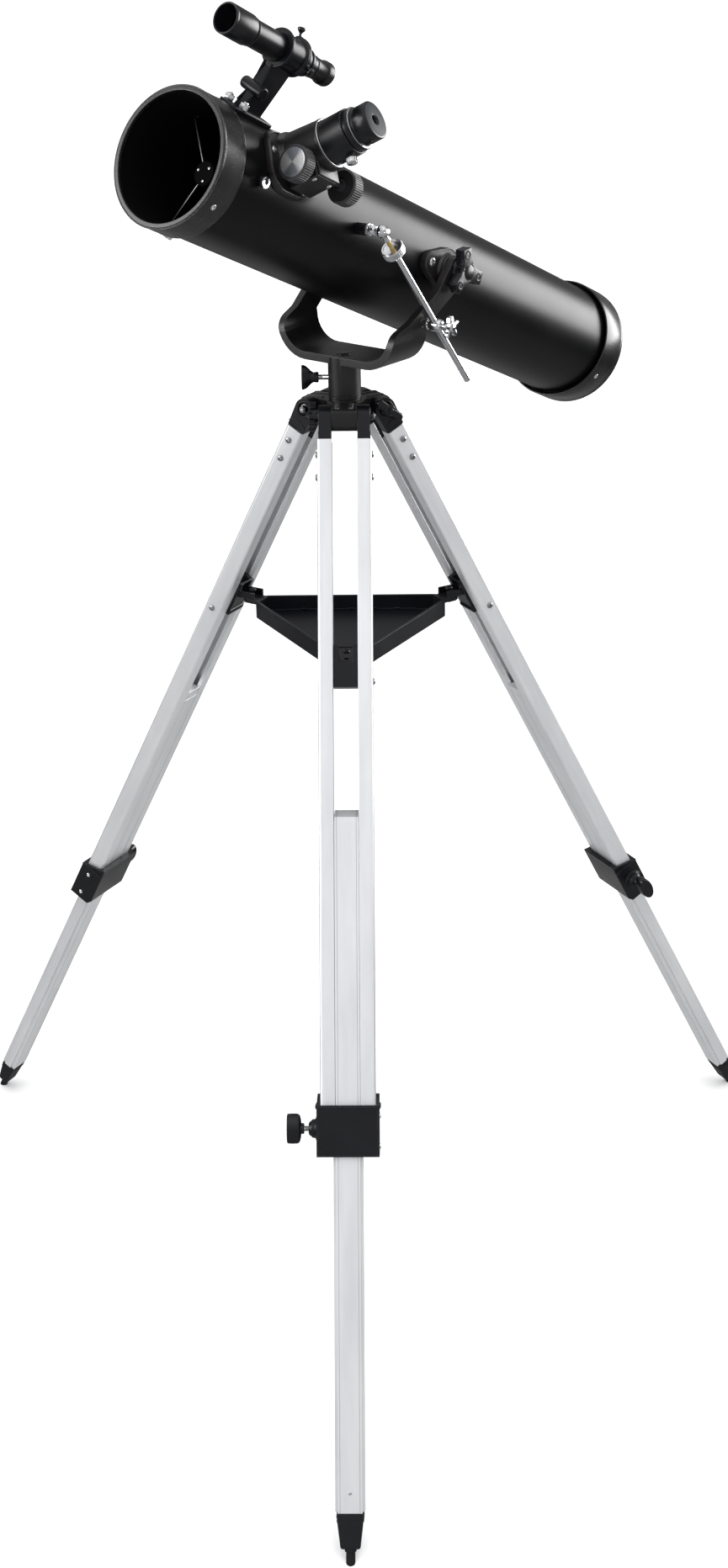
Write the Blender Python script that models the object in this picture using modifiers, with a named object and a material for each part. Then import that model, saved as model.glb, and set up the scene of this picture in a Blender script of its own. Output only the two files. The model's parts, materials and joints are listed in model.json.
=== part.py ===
"""Alt-azimuth fork mount on a three-legged aluminium stand, carrying a small reflector telescope.

Metres, +Z up. The origin is the middle of the object's footprint on the floor, and the front leg
points to -Y. Local frames used below:
  leg frame   origin on the hinge pin, X across the leg, Y out of its outer face, Z up along it
  fork frame  origin on the azimuth axis at floor height, X along the altitude axis, Y to the rear
  tube frame  origin on the altitude axis, X along that axis, Y up from the tube, Z to its mouth
"""

from math import acos, asin, atan2, cos, hypot, pi, radians, sin, sqrt

import bmesh
import bpy
from mathutils import Matrix, Vector

# ---- driving dimensions ------------------------------------------------------------------------
GAP = 0.0003  # clearance between pieces that touch

LEG_COUNT = 3
LEG_SPLAY = radians(27.95)
PIN_RADIUS = 0.0296  # hinge pin to azimuth axis
LEG_LENGTH = 1.0205  # hinge pin to foot tip
CHANNEL_TOP = 0.0224
CHANNEL_OUTER = 0.0247  # half width over both channels
CHANNEL_INNER = 0.0113
CHANNEL_HALF_DEPTH = 0.00915
CHANNEL_WALL = 0.0016
SLOT_HALF = 0.0048
COLLAR_TOP = 0.6197
COLLAR_LENGTH = 0.0444
CHANNEL_END = COLLAR_TOP + 0.0370
INNER_TOP = 0.3672
FOOT_TOP = LEG_LENGTH - 0.0450
PIN_BORE = 0.0033
PIN_SHANK = 0.0030

HUB_HALF = 0.0116
HUB_DROP = 0.0125  # underside of the hub below the hinge pins
LUG_RISE = 0.0088  # top of the lugs above the hinge pins
LUG_REACH = 0.0113  # outer face of a lug from its pin
HUB_TOP_RISE = 0.0118  # top of the round boss under the fork's pillar
CHEEK_OUTER = 0.0231
CHEEK_RADIUS = 0.0102

TRAY_RIM = 0.6980
TRAY_DEPTH = 0.0170
TRAY_LONG_SIDE = 0.0591  # distance of the long sides from the axis
TRAY_CORNER = 0.1012  # distance of the cut corners from the axis
TRAY_WALL = 0.0025
EAR_REACH = 0.0170
EAR_THICK = 0.0040
BRACKET_TOP = 0.2080
BRACKET_END = 0.2465

FORK_TURN = radians(-37.40)  # altitude axis direction from +X
FORK_HALF = 0.0735  # outer face of an arm from the middle, at the eyes
FORK_WAIST = 0.0672  # the same, just above the base's round corner
FORK_FLARE_TOP = 1.0060  # the arms lean out up to this height
FORK_THICK = 0.0072
FORK_BASE_LOW = 0.9440
FORK_BASE_HIGH = FORK_BASE_LOW + FORK_THICK
FORK_FRONT = -0.0135
FORK_BACK = 0.0350
FORK_CORNER = 0.0320
ALTITUDE_BACK = 0.0750  # altitude axis behind the azimuth axis
ALTITUDE_HEIGHT = 1.0212
EYE_RADIUS = 0.0130
PILLAR_RADIUS = 0.0150
POST_RADIUS = 0.0105
POST_TOP = 0.9340
LOCK_HEIGHT = 0.9300
LOCK_TURN = radians(37.4)  # lock screw direction in the fork frame, from -X towards the front

TUBE_RISE = radians(24.16)
TUBE_RADIUS = 0.0550
TUBE_WALL = 0.0012
TUBE_FRONT = 0.3188
TUBE_REAR = -0.3353
FRONT_RING_RADIUS = 0.0581
REAR_RING_RADIUS = 0.0600
FRONT_RING_LENGTH = 0.0270
REAR_RING_LENGTH = 0.0358
MIRROR_RADIUS = 0.0380
SPIDER_Z = 0.2675
FOCUS_Z = 0.2252
FOCUS_TURN = radians(60.5)  # drawtube direction from the tube's top towards +X
FINDER_TURN = radians(23.2)
FINDER_AXIS = 0.1142
FINDER_Z = 0.2730

ROD_PLANE = 0.0820  # slow-motion rod to the middle plane
SWIVEL_Y = 0.0
SWIVEL_Z = 0.1325
CLAMP_BACK = 0.0296
CLAMP_HEIGHT = 0.9823
ROD_RADIUS = 0.0030
ROD_LENGTH_TOTAL = 0.1964  # swivel to the rod's free end

# The footprint's middle lies between the front foot tip and the rear ring's rim.
FOOT_CIRCLE = PIN_RADIUS + LEG_LENGTH * sin(LEG_SPLAY)
FOOT_PIN_RADIUS = 0.0041
PIN_HEIGHT = LEG_LENGTH * cos(LEG_SPLAY)
TUBE_HEADING = Vector((sin(FORK_TURN), -cos(FORK_TURN), 0.0))
TUBE_DIRECTION = TUBE_HEADING * cos(TUBE_RISE) + Vector((0.0, 0.0, sin(TUBE_RISE)))
REAR_REACH = (
    -TUBE_HEADING.y * ALTITUDE_BACK
    + TUBE_DIRECTION.y * TUBE_REAR
    + REAR_RING_RADIUS * sqrt(1.0 - TUBE_DIRECTION.y**2)
)
FRONT_REACH = FOOT_CIRCLE + FOOT_PIN_RADIUS / cos(LEG_SPLAY)
AXIS_Y = (FRONT_REACH - REAR_REACH) / 2.0

BLACK = (0.012, 0.012, 0.014)
CASTING = (0.030, 0.026, 0.025)
COLOURS = {
    "aluminium": ((0.72, 0.73, 0.76), 0.35, 0.9),
    "cast_paint": (CASTING, 0.55, 0.2),
    "black_plastic": (BLACK, 0.45, 0.0),
    "tube_paint": ((0.010, 0.010, 0.011), 0.22, 0.0),
    "chrome": ((0.80, 0.80, 0.80), 0.12, 1.0),
    "steel": ((0.60, 0.60, 0.60), 0.30, 1.0),
    "brass": ((0.75, 0.55, 0.25), 0.30, 1.0),
    "mirror": ((0.90, 0.90, 0.92), 0.03, 1.0),
    "rubber": ((0.015, 0.015, 0.015), 0.75, 0.0),
}


# ---- scene helpers -----------------------------------------------------------------------------
def clear_scene():
    for obj in list(bpy.data.objects):
        bpy.data.objects.remove(obj, do_unlink=True)


def new_collection(name, hidden=False):
    collection = bpy.data.collections.new(name)
    bpy.context.scene.collection.children.link(collection)
    collection.hide_render = hidden
    return collection


def make_material(name):
    colour, roughness, metallic = COLOURS[name]
    material = bpy.data.materials.new(name)
    material.use_nodes = True
    shader = material.node_tree.nodes["Principled BSDF"]
    shader.inputs["Base Color"].default_value = (*colour, 1.0)
    shader.inputs["Roughness"].default_value = roughness
    shader.inputs["Metallic"].default_value = metallic
    return material


clear_scene()
PARTS = new_collection("alt_azimuth_mount")
CUTTERS = new_collection("cutters", hidden=True)
MATERIALS = {name: make_material(name) for name in COLOURS}


def empty(name, matrix, parent=None):
    frame = bpy.data.objects.new(name, None)
    PARTS.objects.link(frame)
    frame.parent = parent
    frame.matrix_basis = matrix
    return frame


def place(obj, frame, matrix):
    obj.parent = frame
    obj.matrix_basis = matrix
    return obj


def shift(x=0.0, y=0.0, z=0.0):
    return Matrix.Translation((x, y, z))


def turn(angle, axis):
    return Matrix.Rotation(angle, 4, axis)


ALONG_X = turn(pi / 2, "Y")  # local Z becomes +X
ALONG_MINUS_X = turn(-pi / 2, "Y")
ALONG_Y = turn(-pi / 2, "X")  # local Z becomes +Y
UPRIGHT = turn(pi / 2, "X")  # a flat outline (x, y) stands up as (x, z)


# ---- shape helpers -----------------------------------------------------------------------------
def helper(name, mesh, matrix=None):
    obj = bpy.data.objects.new(name, mesh)
    CUTTERS.objects.link(obj)
    obj.hide_render = True
    obj.display_type = "WIRE"
    obj.matrix_basis = matrix or Matrix()
    return obj


def cone(radius, top_radius, length, matrix=None, steps=24):
    """A cylinder or cone that starts at the local origin and runs along +Z."""
    mesh = bpy.data.meshes.new("cone")
    shape = bmesh.new()
    bmesh.ops.create_cone(
        shape,
        cap_ends=True,
        segments=steps,
        radius1=radius,
        radius2=top_radius,
        depth=length,
        matrix=shift(z=length / 2),
    )
    shape.to_mesh(mesh)
    shape.free()
    return helper("cone", mesh, matrix)


def rod(radius, length, matrix=None, steps=24):
    return cone(radius, radius, length, matrix, steps)


def block(low, high, matrix=None):
    mesh = bpy.data.meshes.new("block")
    shape = bmesh.new()
    bmesh.ops.create_cube(shape, size=1.0)
    size = Vector(high) - Vector(low)
    middle = (Vector(high) + Vector(low)) / 2
    bmesh.ops.scale(shape, vec=size, verts=shape.verts)
    bmesh.ops.translate(shape, vec=middle, verts=shape.verts)
    shape.to_mesh(mesh)
    shape.free()
    return helper("block", mesh, matrix)


def plate(outline, thickness, matrix=None):
    """A flat outline in local XY, centred on z = 0, as a welded mesh."""
    curve = bpy.data.curves.new("plate", "CURVE")
    curve.dimensions = "2D"
    curve.fill_mode = "BOTH"
    curve.extrude = thickness / 2
    spline = curve.splines.new("POLY")
    spline.points.add(len(outline) - 1)
    for point, (x, y) in zip(spline.points, outline):
        point.co = (x, y, 0.0, 1.0)
    spline.use_cyclic_u = True
    source = bpy.data.objects.new("plate_curve", curve)
    CUTTERS.objects.link(source)
    bpy.context.view_layer.update()
    graph = bpy.context.evaluated_depsgraph_get()
    mesh = bpy.data.meshes.new_from_object(source.evaluated_get(graph))
    bpy.data.objects.remove(source, do_unlink=True)
    shape = bmesh.new()
    shape.from_mesh(mesh)
    bmesh.ops.remove_doubles(shape, verts=shape.verts, dist=1e-6)
    bmesh.ops.recalc_face_normals(shape, faces=shape.faces)
    bmesh.ops.dissolve_limit(shape, angle_limit=0.001, verts=shape.verts, edges=shape.edges)
    shape.to_mesh(mesh)
    shape.free()
    return helper("plate", mesh, matrix)


def lathe(profile, matrix=None, steps=32):
    """Turns (radius, z) points, listed from top to bottom along the outside, about local Z."""
    mesh = bpy.data.meshes.new("lathe")
    points = [(radius, 0.0, z) for radius, z in profile]
    count = len(points)
    closed = profile[0][0] > 0.0
    edges = [(i, i + 1) for i in range(count - 1)]
    if closed:
        edges.append((count - 1, 0))
    mesh.from_pydata(points, edges, [])
    obj = helper("lathe", mesh, matrix)
    screw = obj.modifiers.new("Screw", "SCREW")
    screw.steps = steps
    screw.render_steps = steps
    screw.use_merge_vertices = True
    screw.merge_threshold = 0.00001
    return obj


def combine(base, others, operation):
    for other in others:
        modifier = base.modifiers.new(operation.title(), "BOOLEAN")
        modifier.operation = operation
        modifier.solver = "EXACT"
        modifier.object = other
    return base


def finish(name, solids, material, frame, matrix=None, cuts=(), smooth=True):
    """Joins helper solids, cuts them, and makes the result one named part of the object."""
    base = solids[0]
    combine(base, solids[1:], "UNION")
    combine(base, cuts, "DIFFERENCE")
    bpy.context.view_layer.update()
    graph = bpy.context.evaluated_depsgraph_get()
    mesh = bpy.data.meshes.new_from_object(base.evaluated_get(graph))
    mesh.transform(base.matrix_basis)
    mesh.name = name
    mesh.materials.clear()
    mesh.materials.append(MATERIALS[material])
    if smooth:
        mesh.shade_smooth()
        mesh.set_sharp_from_angle(angle=radians(32))
    for used in (*solids, *cuts):
        bpy.data.objects.remove(used, do_unlink=True)
    part = bpy.data.objects.new(name, mesh)
    PARTS.objects.link(part)
    return place(part, frame, matrix or Matrix())


def arc(centre, radius, start, end, steps):
    """Points on an arc, with angles in degrees."""
    angles = [radians(start + (end - start) * i / steps) for i in range(steps + 1)]
    return [(centre[0] + radius * cos(a), centre[1] + radius * sin(a)) for a in angles]


def rounded_box(half_x, half_y, radius, steps=4):
    """Outline of a rectangle with rounded corners, anticlockwise."""
    points = []
    for sign_x, sign_y, start in ((1, 1, 0), (-1, 1, 90), (-1, -1, 180), (1, -1, 270)):
        centre = (sign_x * (half_x - radius), sign_y * (half_y - radius))
        points += arc(centre, radius, start, start + 90, steps)
    return points


def belt(circles, steps=10):
    """Outline of a belt drawn tight round circles (x, y, radius), listed anticlockwise."""
    points = []
    count = len(circles)
    joints = []
    for i in range(count):
        ax, ay, ar = circles[i]
        bx, by, br = circles[(i + 1) % count]
        heading = atan2(by - ay, bx - ax)
        joints.append(heading - acos((ar - br) / hypot(bx - ax, by - ay)))
    for i in range(count):
        start = joints[i - 1]
        end = joints[i]
        while end < start:
            end += 2 * pi
        x, y, radius = circles[i]
        points += arc((x, y), radius, start * 180 / pi, end * 180 / pi, steps)
    return points


def lobes(count, tip, waist, steps=5):
    """Outline of a hand knob: round lobes at the tip radius with hollows at the waist radius."""
    points = []
    for i in range(count * steps * 2):
        angle = pi * i / (count * steps)
        radius = (tip + waist) / 2 + (tip - waist) / 2 * cos(count * angle)
        points.append((radius * cos(angle), radius * sin(angle)))
    return points


# ---- frames ------------------------------------------------------------------------------------
AXIS = empty("azimuth_axis", shift(y=AXIS_Y))
FORK = empty("fork_frame", turn(FORK_TURN, "Z"), AXIS)
TUBE = empty(
    "tube_frame",
    shift(y=ALTITUDE_BACK, z=ALTITUDE_HEIGHT) @ turn(pi / 2 - TUBE_RISE, "X"),
    FORK,
)


def leg_turn(index):
    """Turn about the azimuth axis that brings the front leg to this leg."""
    return -index * 2 * pi / LEG_COUNT


def leg_frame(index):
    tilt = turn(pi, "Z") @ shift(y=PIN_RADIUS, z=PIN_HEIGHT) @ turn(LEG_SPLAY, "X")
    return empty(f"leg_{index + 1}_frame", turn(leg_turn(index), "Z") @ tilt, AXIS)


# ---- legs --------------------------------------------------------------------------------------
def channel_outline():
    """Half of a leg section: a C-shaped channel with its slot towards the middle."""
    out = CHANNEL_OUTER
    depth = CHANNEL_HALF_DEPTH
    wall = CHANNEL_WALL
    inside = depth - wall
    corner = 0.0028
    return [
        (CHANNEL_INNER, SLOT_HALF),
        (CHANNEL_INNER, depth),
        *reversed(arc((out - corner, depth - corner), corner, 0, 90, 4)),
        *reversed(arc((out - corner, corner - depth), corner, -90, 0, 4)),
        (CHANNEL_INNER, -depth),
        (CHANNEL_INNER, -SLOT_HALF),
        (CHANNEL_INNER + wall, -SLOT_HALF),
        (CHANNEL_INNER + wall, -inside),
        (out - wall, -inside),
        (out - wall, inside),
        (CHANNEL_INNER + wall, inside),
        (CHANNEL_INNER + wall, SLOT_HALF),
    ]


def make_channel(name, frame, side):
    length = CHANNEL_END - CHANNEL_TOP
    outline = [(side * x, y) for x, y in channel_outline()]
    bar = plate(outline, length, shift(z=-(CHANNEL_TOP + CHANNEL_END) / 2))
    return finish(name, [bar], "aluminium", frame)


def make_cheek(name, frame, side):
    """The plastic end piece of a channel, with a round eye for the hinge bolt and a plug below."""
    inner = HUB_HALF + GAP
    thick = CHEEK_OUTER - inner
    middle = side * (CHEEK_OUTER + inner) / 2
    foot = CHANNEL_TOP - GAP
    eye = arc((0.0, 0.0), CHEEK_RADIUS, 0, 180, 12)
    outline = [*eye, (-CHANNEL_HALF_DEPTH, -foot), (CHANNEL_HALF_DEPTH, -foot)]
    sideways = turn(pi / 2, "Z") @ UPRIGHT
    shell = plate(outline, thick, shift(x=middle) @ sideways)
    plug_in = side * 0.0185
    plug_out = side * (CHANNEL_OUTER - CHANNEL_WALL - GAP)
    plug_depth = CHANNEL_HALF_DEPTH - CHANNEL_WALL - GAP
    plug = block(
        (min(plug_in, plug_out), -plug_depth, -0.0450),
        (max(plug_in, plug_out), plug_depth, -foot + 0.0040),
    )
    hole = rod(PIN_BORE, 0.06, shift(x=-0.03) @ ALONG_X)
    recess = rod(0.0066, 0.0040, shift(x=side * CHEEK_OUTER - 0.0020) @ ALONG_X)
    return finish(name, [shell, plug], "black_plastic", frame, cuts=[hole, recess])


def make_hinge_bolt(name, frame):
    """The clamp bolt through both cheeks and the hub lug: hexagon head at -X, wing grip at +X."""
    start = CHEEK_OUTER - 0.0017
    head = rod(0.0052, 0.0036, shift(x=-CHEEK_OUTER - 0.0019) @ ALONG_X, steps=6)
    shank = rod(PIN_SHANK, 2 * CHEEK_OUTER + 0.0080, shift(x=-CHEEK_OUTER) @ ALONG_X)
    hub = cone(0.0062, 0.0052, 0.0120, shift(x=start) @ ALONG_X)
    wing = plate(belt([(-0.0125, 0.0, 0.0035), (0.0125, 0.0, 0.0035)]), 0.0070)
    wing.matrix_basis = shift(x=start + 0.0080) @ ALONG_X
    tilt = turn(radians(25), "X")
    return finish(name, [head, shank, hub, wing], "black_plastic", frame, tilt)


def make_inner_leg(name, frame):
    """The sliding leg: a hollow box with a tongue in each slot and a slanted stop on top."""
    half = CHANNEL_INNER - GAP
    deep = CHANNEL_HALF_DEPTH - 0.0003
    tongue = SLOT_HALF - GAP
    reach = CHANNEL_INNER + 0.0020
    bar = block((-half, -deep, -FOOT_TOP), (half, deep, -INNER_TOP))
    rails = block((-reach, -tongue, -FOOT_TOP + 0.0005), (reach, tongue, -INNER_TOP - 0.0005))
    slant = [(0.0002 - deep, -0.0060), (deep - 0.0002, -0.0060), (deep - 0.0002, 0.0040),
             (0.0002 - deep, 0.0110)]
    cap = plate(slant, 2 * half - 0.0004, shift(z=-INNER_TOP) @ turn(pi / 2, "Z") @ UPRIGHT)
    hollow = block(
        (CHANNEL_WALL - half, CHANNEL_WALL - deep, -FOOT_TOP - 0.0500),
        (half - CHANNEL_WALL, deep - CHANNEL_WALL, -INNER_TOP - 0.0100),
    )
    return finish(name, [bar, rails, cap], "aluminium", frame, cuts=[hollow])


def make_collar(name, frame):
    """The clamp on the channels' lower ends, with a flange on top and the lock screw's boss."""
    end = -COLLAR_TOP - COLLAR_LENGTH
    half = 0.0279
    inward = -0.0150
    outward = 0.0128
    side = [
        (inward, -COLLAR_TOP + 0.0090), (outward, -COLLAR_TOP),
        (outward, end), (inward + 0.0040, end), (inward, end + 0.0060),
    ]
    body = plate([(y, z) for y, z in reversed(side)], 2 * half, turn(pi / 2, "Z") @ UPRIGHT)
    lip_outline = rounded_box(half + 0.0012, 0.0140, 0.0030, 2)
    lip = plate(lip_outline, 0.0030, shift(y=-0.0011, z=-COLLAR_TOP - 0.0005))
    lock_z = -COLLAR_TOP - 0.0205
    boss = cone(0.0100, 0.0062, 0.0075, shift(x=half - 0.0010, z=lock_z) @ ALONG_X)
    gap = GAP + 0.0001
    bore = block(
        (-CHANNEL_OUTER - gap, -CHANNEL_HALF_DEPTH - gap, -CHANNEL_END - gap),
        (CHANNEL_OUTER + gap, CHANNEL_HALF_DEPTH + gap, 0.0),
    )
    mouth = block(
        (-CHANNEL_INNER - 0.0025, -CHANNEL_HALF_DEPTH - gap, end - 0.01),
        (CHANNEL_INNER + 0.0025, CHANNEL_HALF_DEPTH + gap, 0.0),
    )
    screw_hole = rod(0.0029, 0.03, shift(x=0.0200, z=lock_z) @ ALONG_X)
    cuts = [bore, mouth, screw_hole]
    return finish(name, [body, lip, boss], "black_plastic", frame, cuts=cuts)


def make_wing_knob(name, frame, material, matrix, start, stem, height):
    """A screw along +Z with a flat two-winged grip at its outer end."""
    shank = rod(0.0025, stem + 0.0060, shift(z=start), steps=16)
    neck = cone(0.0050, 0.0040, 0.0050, shift(z=start + stem - 0.0005), steps=20)
    half = height / 2
    flare = [
        (0.0036, 0.0), (0.0044, 0.0026), (0.62 * half, 0.0054), (0.93 * half, 0.0092),
        (half, 0.0126), (0.55 * half, 0.0112),
    ]
    outline = [*flare, (0.0, 0.0106), *[(-x, z) for x, z in reversed(flare)]]
    grip = plate(outline, 0.0085, shift(z=start + stem) @ UPRIGHT)
    return finish(name, [shank, neck, grip], material, frame, matrix)


def make_collar_lock(name, frame):
    lock_z = -COLLAR_TOP - 0.0205
    place_it = shift(x=CHANNEL_OUTER + 0.0005, z=lock_z) @ ALONG_X
    return make_wing_knob(name, frame, "black_plastic", place_it, 0.0, 0.0165, 0.0270)


def make_foot(name, frame):
    """The tapered tip, ending in a narrow pin that the floor plane cuts flat."""
    top = -FOOT_TOP - GAP
    mesh = rod(0.5, 0.0320, steps=4)
    shape = bmesh.new()
    shape.from_mesh(mesh.data)
    bmesh.ops.rotate(shape, cent=(0, 0, 0), matrix=turn(pi / 4, "Z"), verts=shape.verts)
    scale = sqrt(0.5)
    for vert in shape.verts:
        upper = vert.co.z > 0.01
        vert.co.x *= (0.0250 if upper else 0.0176) / scale
        vert.co.y *= (0.0170 if upper else 0.0130) / scale
    shape.to_mesh(mesh.data)
    shape.free()
    bevel = mesh.modifiers.new("Bevel", "BEVEL")
    bevel.width = 0.0020
    bevel.segments = 2
    mesh.matrix_basis = shift(z=top - 0.0320)
    half = CHANNEL_INNER - GAP - CHANNEL_WALL - GAP
    deep = CHANNEL_HALF_DEPTH - 0.0003 - CHANNEL_WALL - GAP
    plug = block((-half, -deep, top - 0.0050), (half, deep, top + 0.0200))
    pin = rod(FOOT_PIN_RADIUS, 0.0250, shift(z=-LEG_LENGTH - 0.0040))
    floor_cut = block((-0.05, -0.05, -0.0300), (0.05, 0.05, 0.0))
    floor_cut.matrix_basis = shift(z=-LEG_LENGTH) @ turn(-LEG_SPLAY, "X")
    return finish(name, [mesh, plug, pin], "rubber", frame, cuts=[floor_cut])


def make_tray_bracket(name, frame):
    """The plastic bridge between a leg's channels, with a level pad over the tray's ear."""
    half = CHANNEL_INNER - GAP
    deep = CHANNEL_HALF_DEPTH
    web = block((-half, -deep - 0.0030, -BRACKET_END), (half, deep - 0.0040, -BRACKET_TOP))
    window = block((-half + 0.0045, -0.03, -BRACKET_TOP - 0.0160), (half - 0.0045, 0.03, 0.0))
    level = turn(-LEG_SPLAY, "X")
    ear_z = TRAY_RIM + GAP - PIN_HEIGHT
    inner_y = TRAY_CORNER + 0.0030 - PIN_RADIUS
    outer_y = (0.2430 - 0.0080) * sin(LEG_SPLAY)
    pad = block((-0.0085, inner_y, ear_z), (0.0085, outer_y, ear_z + 0.0065), level)
    screw_hole = rod(0.0023, 0.03, level @ shift(y=inner_y + 0.0070, z=ear_z - 0.01), steps=16)
    bolt = rod(0.0035, 2 * half, shift(x=-half, y=-deep - 0.0010, z=-0.2425) @ ALONG_X)
    cuts = [window, screw_hole]
    return finish(name, [web, pad, bolt], "black_plastic", frame, cuts=cuts)


def make_leg(index):
    frame = leg_frame(index)
    leg = f"leg_{index + 1}"
    make_channel(f"{leg}_channel_a", frame, 1)
    make_channel(f"{leg}_channel_b", frame, -1)
    make_cheek(f"{leg}_cheek_a", frame, 1)
    make_cheek(f"{leg}_cheek_b", frame, -1)
    make_hinge_bolt(f"{leg}_hinge_bolt", frame)
    make_collar(f"{leg}_collar", frame)
    make_collar_lock(f"{leg}_lock_knob", frame)
    make_inner_leg(f"{leg}_inner", frame)
    make_foot(f"{leg}_foot", frame)
    make_tray_bracket(f"{leg}_tray_bracket", frame)


# ---- hub, tray and azimuth bearing -------------------------------------------------------------
def make_hub():
    """The cast head of the stand: three lugs for the legs and the azimuth post on top."""
    top = PIN_HEIGHT + LUG_RISE
    low = PIN_HEIGHT - HUB_DROP
    core = rod(0.0190, top - low, shift(z=low), steps=36)
    boss_top = PIN_HEIGHT + HUB_TOP_RISE
    boss = rod(PILLAR_RADIUS - 0.0004, boss_top - low - 0.0050, shift(z=low + 0.0050), steps=36)
    post = rod(POST_RADIUS, POST_TOP - top, shift(z=top), steps=28)
    solids = [core, boss, post]
    lug_outline = [(-y, z) for y, z in [
        (0.0, low + 0.0010), (0.0, top - 0.0001),
        *arc((PIN_RADIUS + LUG_REACH - 0.0045, PIN_HEIGHT + LUG_RISE - 0.0045), 0.0045, 90, 0, 4),
        *arc((PIN_RADIUS + LUG_REACH - 0.0070, PIN_HEIGHT - HUB_DROP + 0.0070), 0.0070, 0, -90, 5),
    ]]
    cuts = [rod(0.0043, 0.1, shift(z=low - 0.02)), rod(0.0082, 0.0100, shift(z=low - 0.003))]
    for index in range(LEG_COUNT):
        spin = turn(leg_turn(index), "Z")
        solids.append(plate(lug_outline, 2 * HUB_HALF, spin @ turn(pi / 2, "Z") @ UPRIGHT))
        pin = spin @ shift(x=-0.03, y=-PIN_RADIUS, z=PIN_HEIGHT) @ ALONG_X
        cuts.append(rod(PIN_BORE, 0.06, pin, steps=20))
    return finish("hub", solids, "cast_paint", AXIS, cuts=cuts)


def make_azimuth_bolt():
    """The bolt that holds the fork down on the hub's post."""
    low = PIN_HEIGHT - HUB_DROP
    head = rod(0.0065, 0.0050, shift(z=low + 0.0015), steps=6)
    shank = rod(0.0040, 0.9480 - low - 0.0040, shift(z=low + 0.0040))
    return finish("azimuth_bolt", [head, shank], "steel", AXIS)


def tray_outline(inset):
    """The tray's six-sided plan, with its cut corners towards the legs."""
    long_side = TRAY_LONG_SIDE - inset
    corner = TRAY_CORNER - inset
    half_corner = 2 * long_side / sqrt(3) - corner / sqrt(3)
    points = []
    for index in range(LEG_COUNT):
        heading = radians(-90 + 120 * index)
        along = Vector((cos(heading), sin(heading)))
        cross = Vector((-sin(heading), cos(heading)))
        for side in (-1, 1):
            points.append(tuple(along * corner + cross * half_corner * side))
    return points


def make_tray():
    depth = TRAY_DEPTH
    body = plate(tray_outline(0.0), depth, shift(z=TRAY_RIM - depth / 2))
    pocket = plate(tray_outline(TRAY_WALL), depth, shift(z=TRAY_RIM - depth / 2 + TRAY_WALL))
    solids = [body]
    cuts = [pocket]
    for index in range(LEG_COUNT):
        spin = turn(leg_turn(index), "Z")
        reach = TRAY_CORNER + EAR_REACH
        outline = [(-0.0085, -TRAY_CORNER + 0.001), (-0.0085, -reach + 0.004),
                   (-0.0055, -reach), (0.0055, -reach),
                   (0.0085, -reach + 0.004), (0.0085, -TRAY_CORNER + 0.001)]
        solids.append(plate(outline, EAR_THICK, spin @ shift(z=TRAY_RIM - EAR_THICK / 2)))
        ear_hole = spin @ shift(y=-TRAY_CORNER - 0.0100, z=TRAY_RIM - 0.02)
        cuts.append(rod(0.0023, 0.04, ear_hole, steps=16))
    return finish("accessory_tray", solids, "black_plastic", AXIS, cuts=cuts)


# ---- fork and altitude pivots ------------------------------------------------------------------
def fork_profile():
    """The fork seen along the tube: a flat base with round corners and upright arms."""
    high = 1.06
    inner = FORK_HALF - FORK_THICK
    centre = (FORK_WAIST - FORK_CORNER, FORK_BASE_LOW + FORK_CORNER)
    right_out = [*arc(centre, FORK_CORNER, -90, 0, 8),
                 (FORK_HALF, FORK_FLARE_TOP), (FORK_HALF, high)]
    right_in = [*arc(centre, FORK_CORNER - FORK_THICK, -90, 0, 8),
                (inner, FORK_FLARE_TOP), (inner, high)]
    left_out = [(-x, z) for x, z in reversed(right_out)]
    left_in = [(-x, z) for x, z in reversed(right_in)]
    return [*left_out, *right_out, *reversed(right_in), *reversed(left_in)]


def fork_side():
    """The fork seen along the altitude axis: the arms lean back from the base to the eyes."""
    eye = (ALTITUDE_BACK, ALTITUDE_HEIGHT)
    rim = arc(eye, EYE_RADIUS, -50, 125, 12)
    return [
        (FORK_FRONT, 0.9300), (FORK_BACK, 0.9300), (FORK_BACK + 0.0008, 0.9790),
        *rim,
        (0.0480, 1.0110), (0.0100, 0.9850), *arc((0.0010, 0.9660), 0.0145, 115, 180, 5),
    ]


def make_fork():
    shell = plate(fork_profile(), 0.1300, shift(y=0.0400) @ UPRIGHT)
    stand = turn(pi / 2, "Z") @ UPRIGHT
    side = plate(fork_side(), 0.2000, stand)
    combine(shell, [side], "INTERSECT")
    low = PIN_HEIGHT + HUB_TOP_RISE + GAP
    pillar = rod(PILLAR_RADIUS, FORK_BASE_HIGH - 0.0010 - low, shift(z=low), steps=36)
    bore = rod(POST_RADIUS + GAP, POST_TOP + 0.0010 - low + 0.01, shift(z=low - 0.01), steps=28)
    cuts = [bore, rod(0.0043, 0.06, shift(z=0.92))]
    lock = turn(LOCK_TURN, "Z") @ shift(x=-0.03, z=LOCK_HEIGHT) @ ALONG_X
    cuts.append(rod(0.0028, 0.0260, lock, steps=20))
    for sign in (-1, 1):
        start = shift(x=sign * FORK_HALF - 0.012, y=ALTITUDE_BACK, z=ALTITUDE_HEIGHT)
        cuts.append(rod(0.0043, 0.024, start @ ALONG_X))
    clamp = shift(x=FORK_HALF - 0.012, y=CLAMP_BACK, z=CLAMP_HEIGHT) @ ALONG_X
    cuts.append(rod(0.0033, 0.024, clamp, steps=20))
    part = finish("fork_yoke", [shell, pillar], "cast_paint", FORK, cuts=cuts)
    bpy.data.objects.remove(side, do_unlink=True)
    return part


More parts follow.
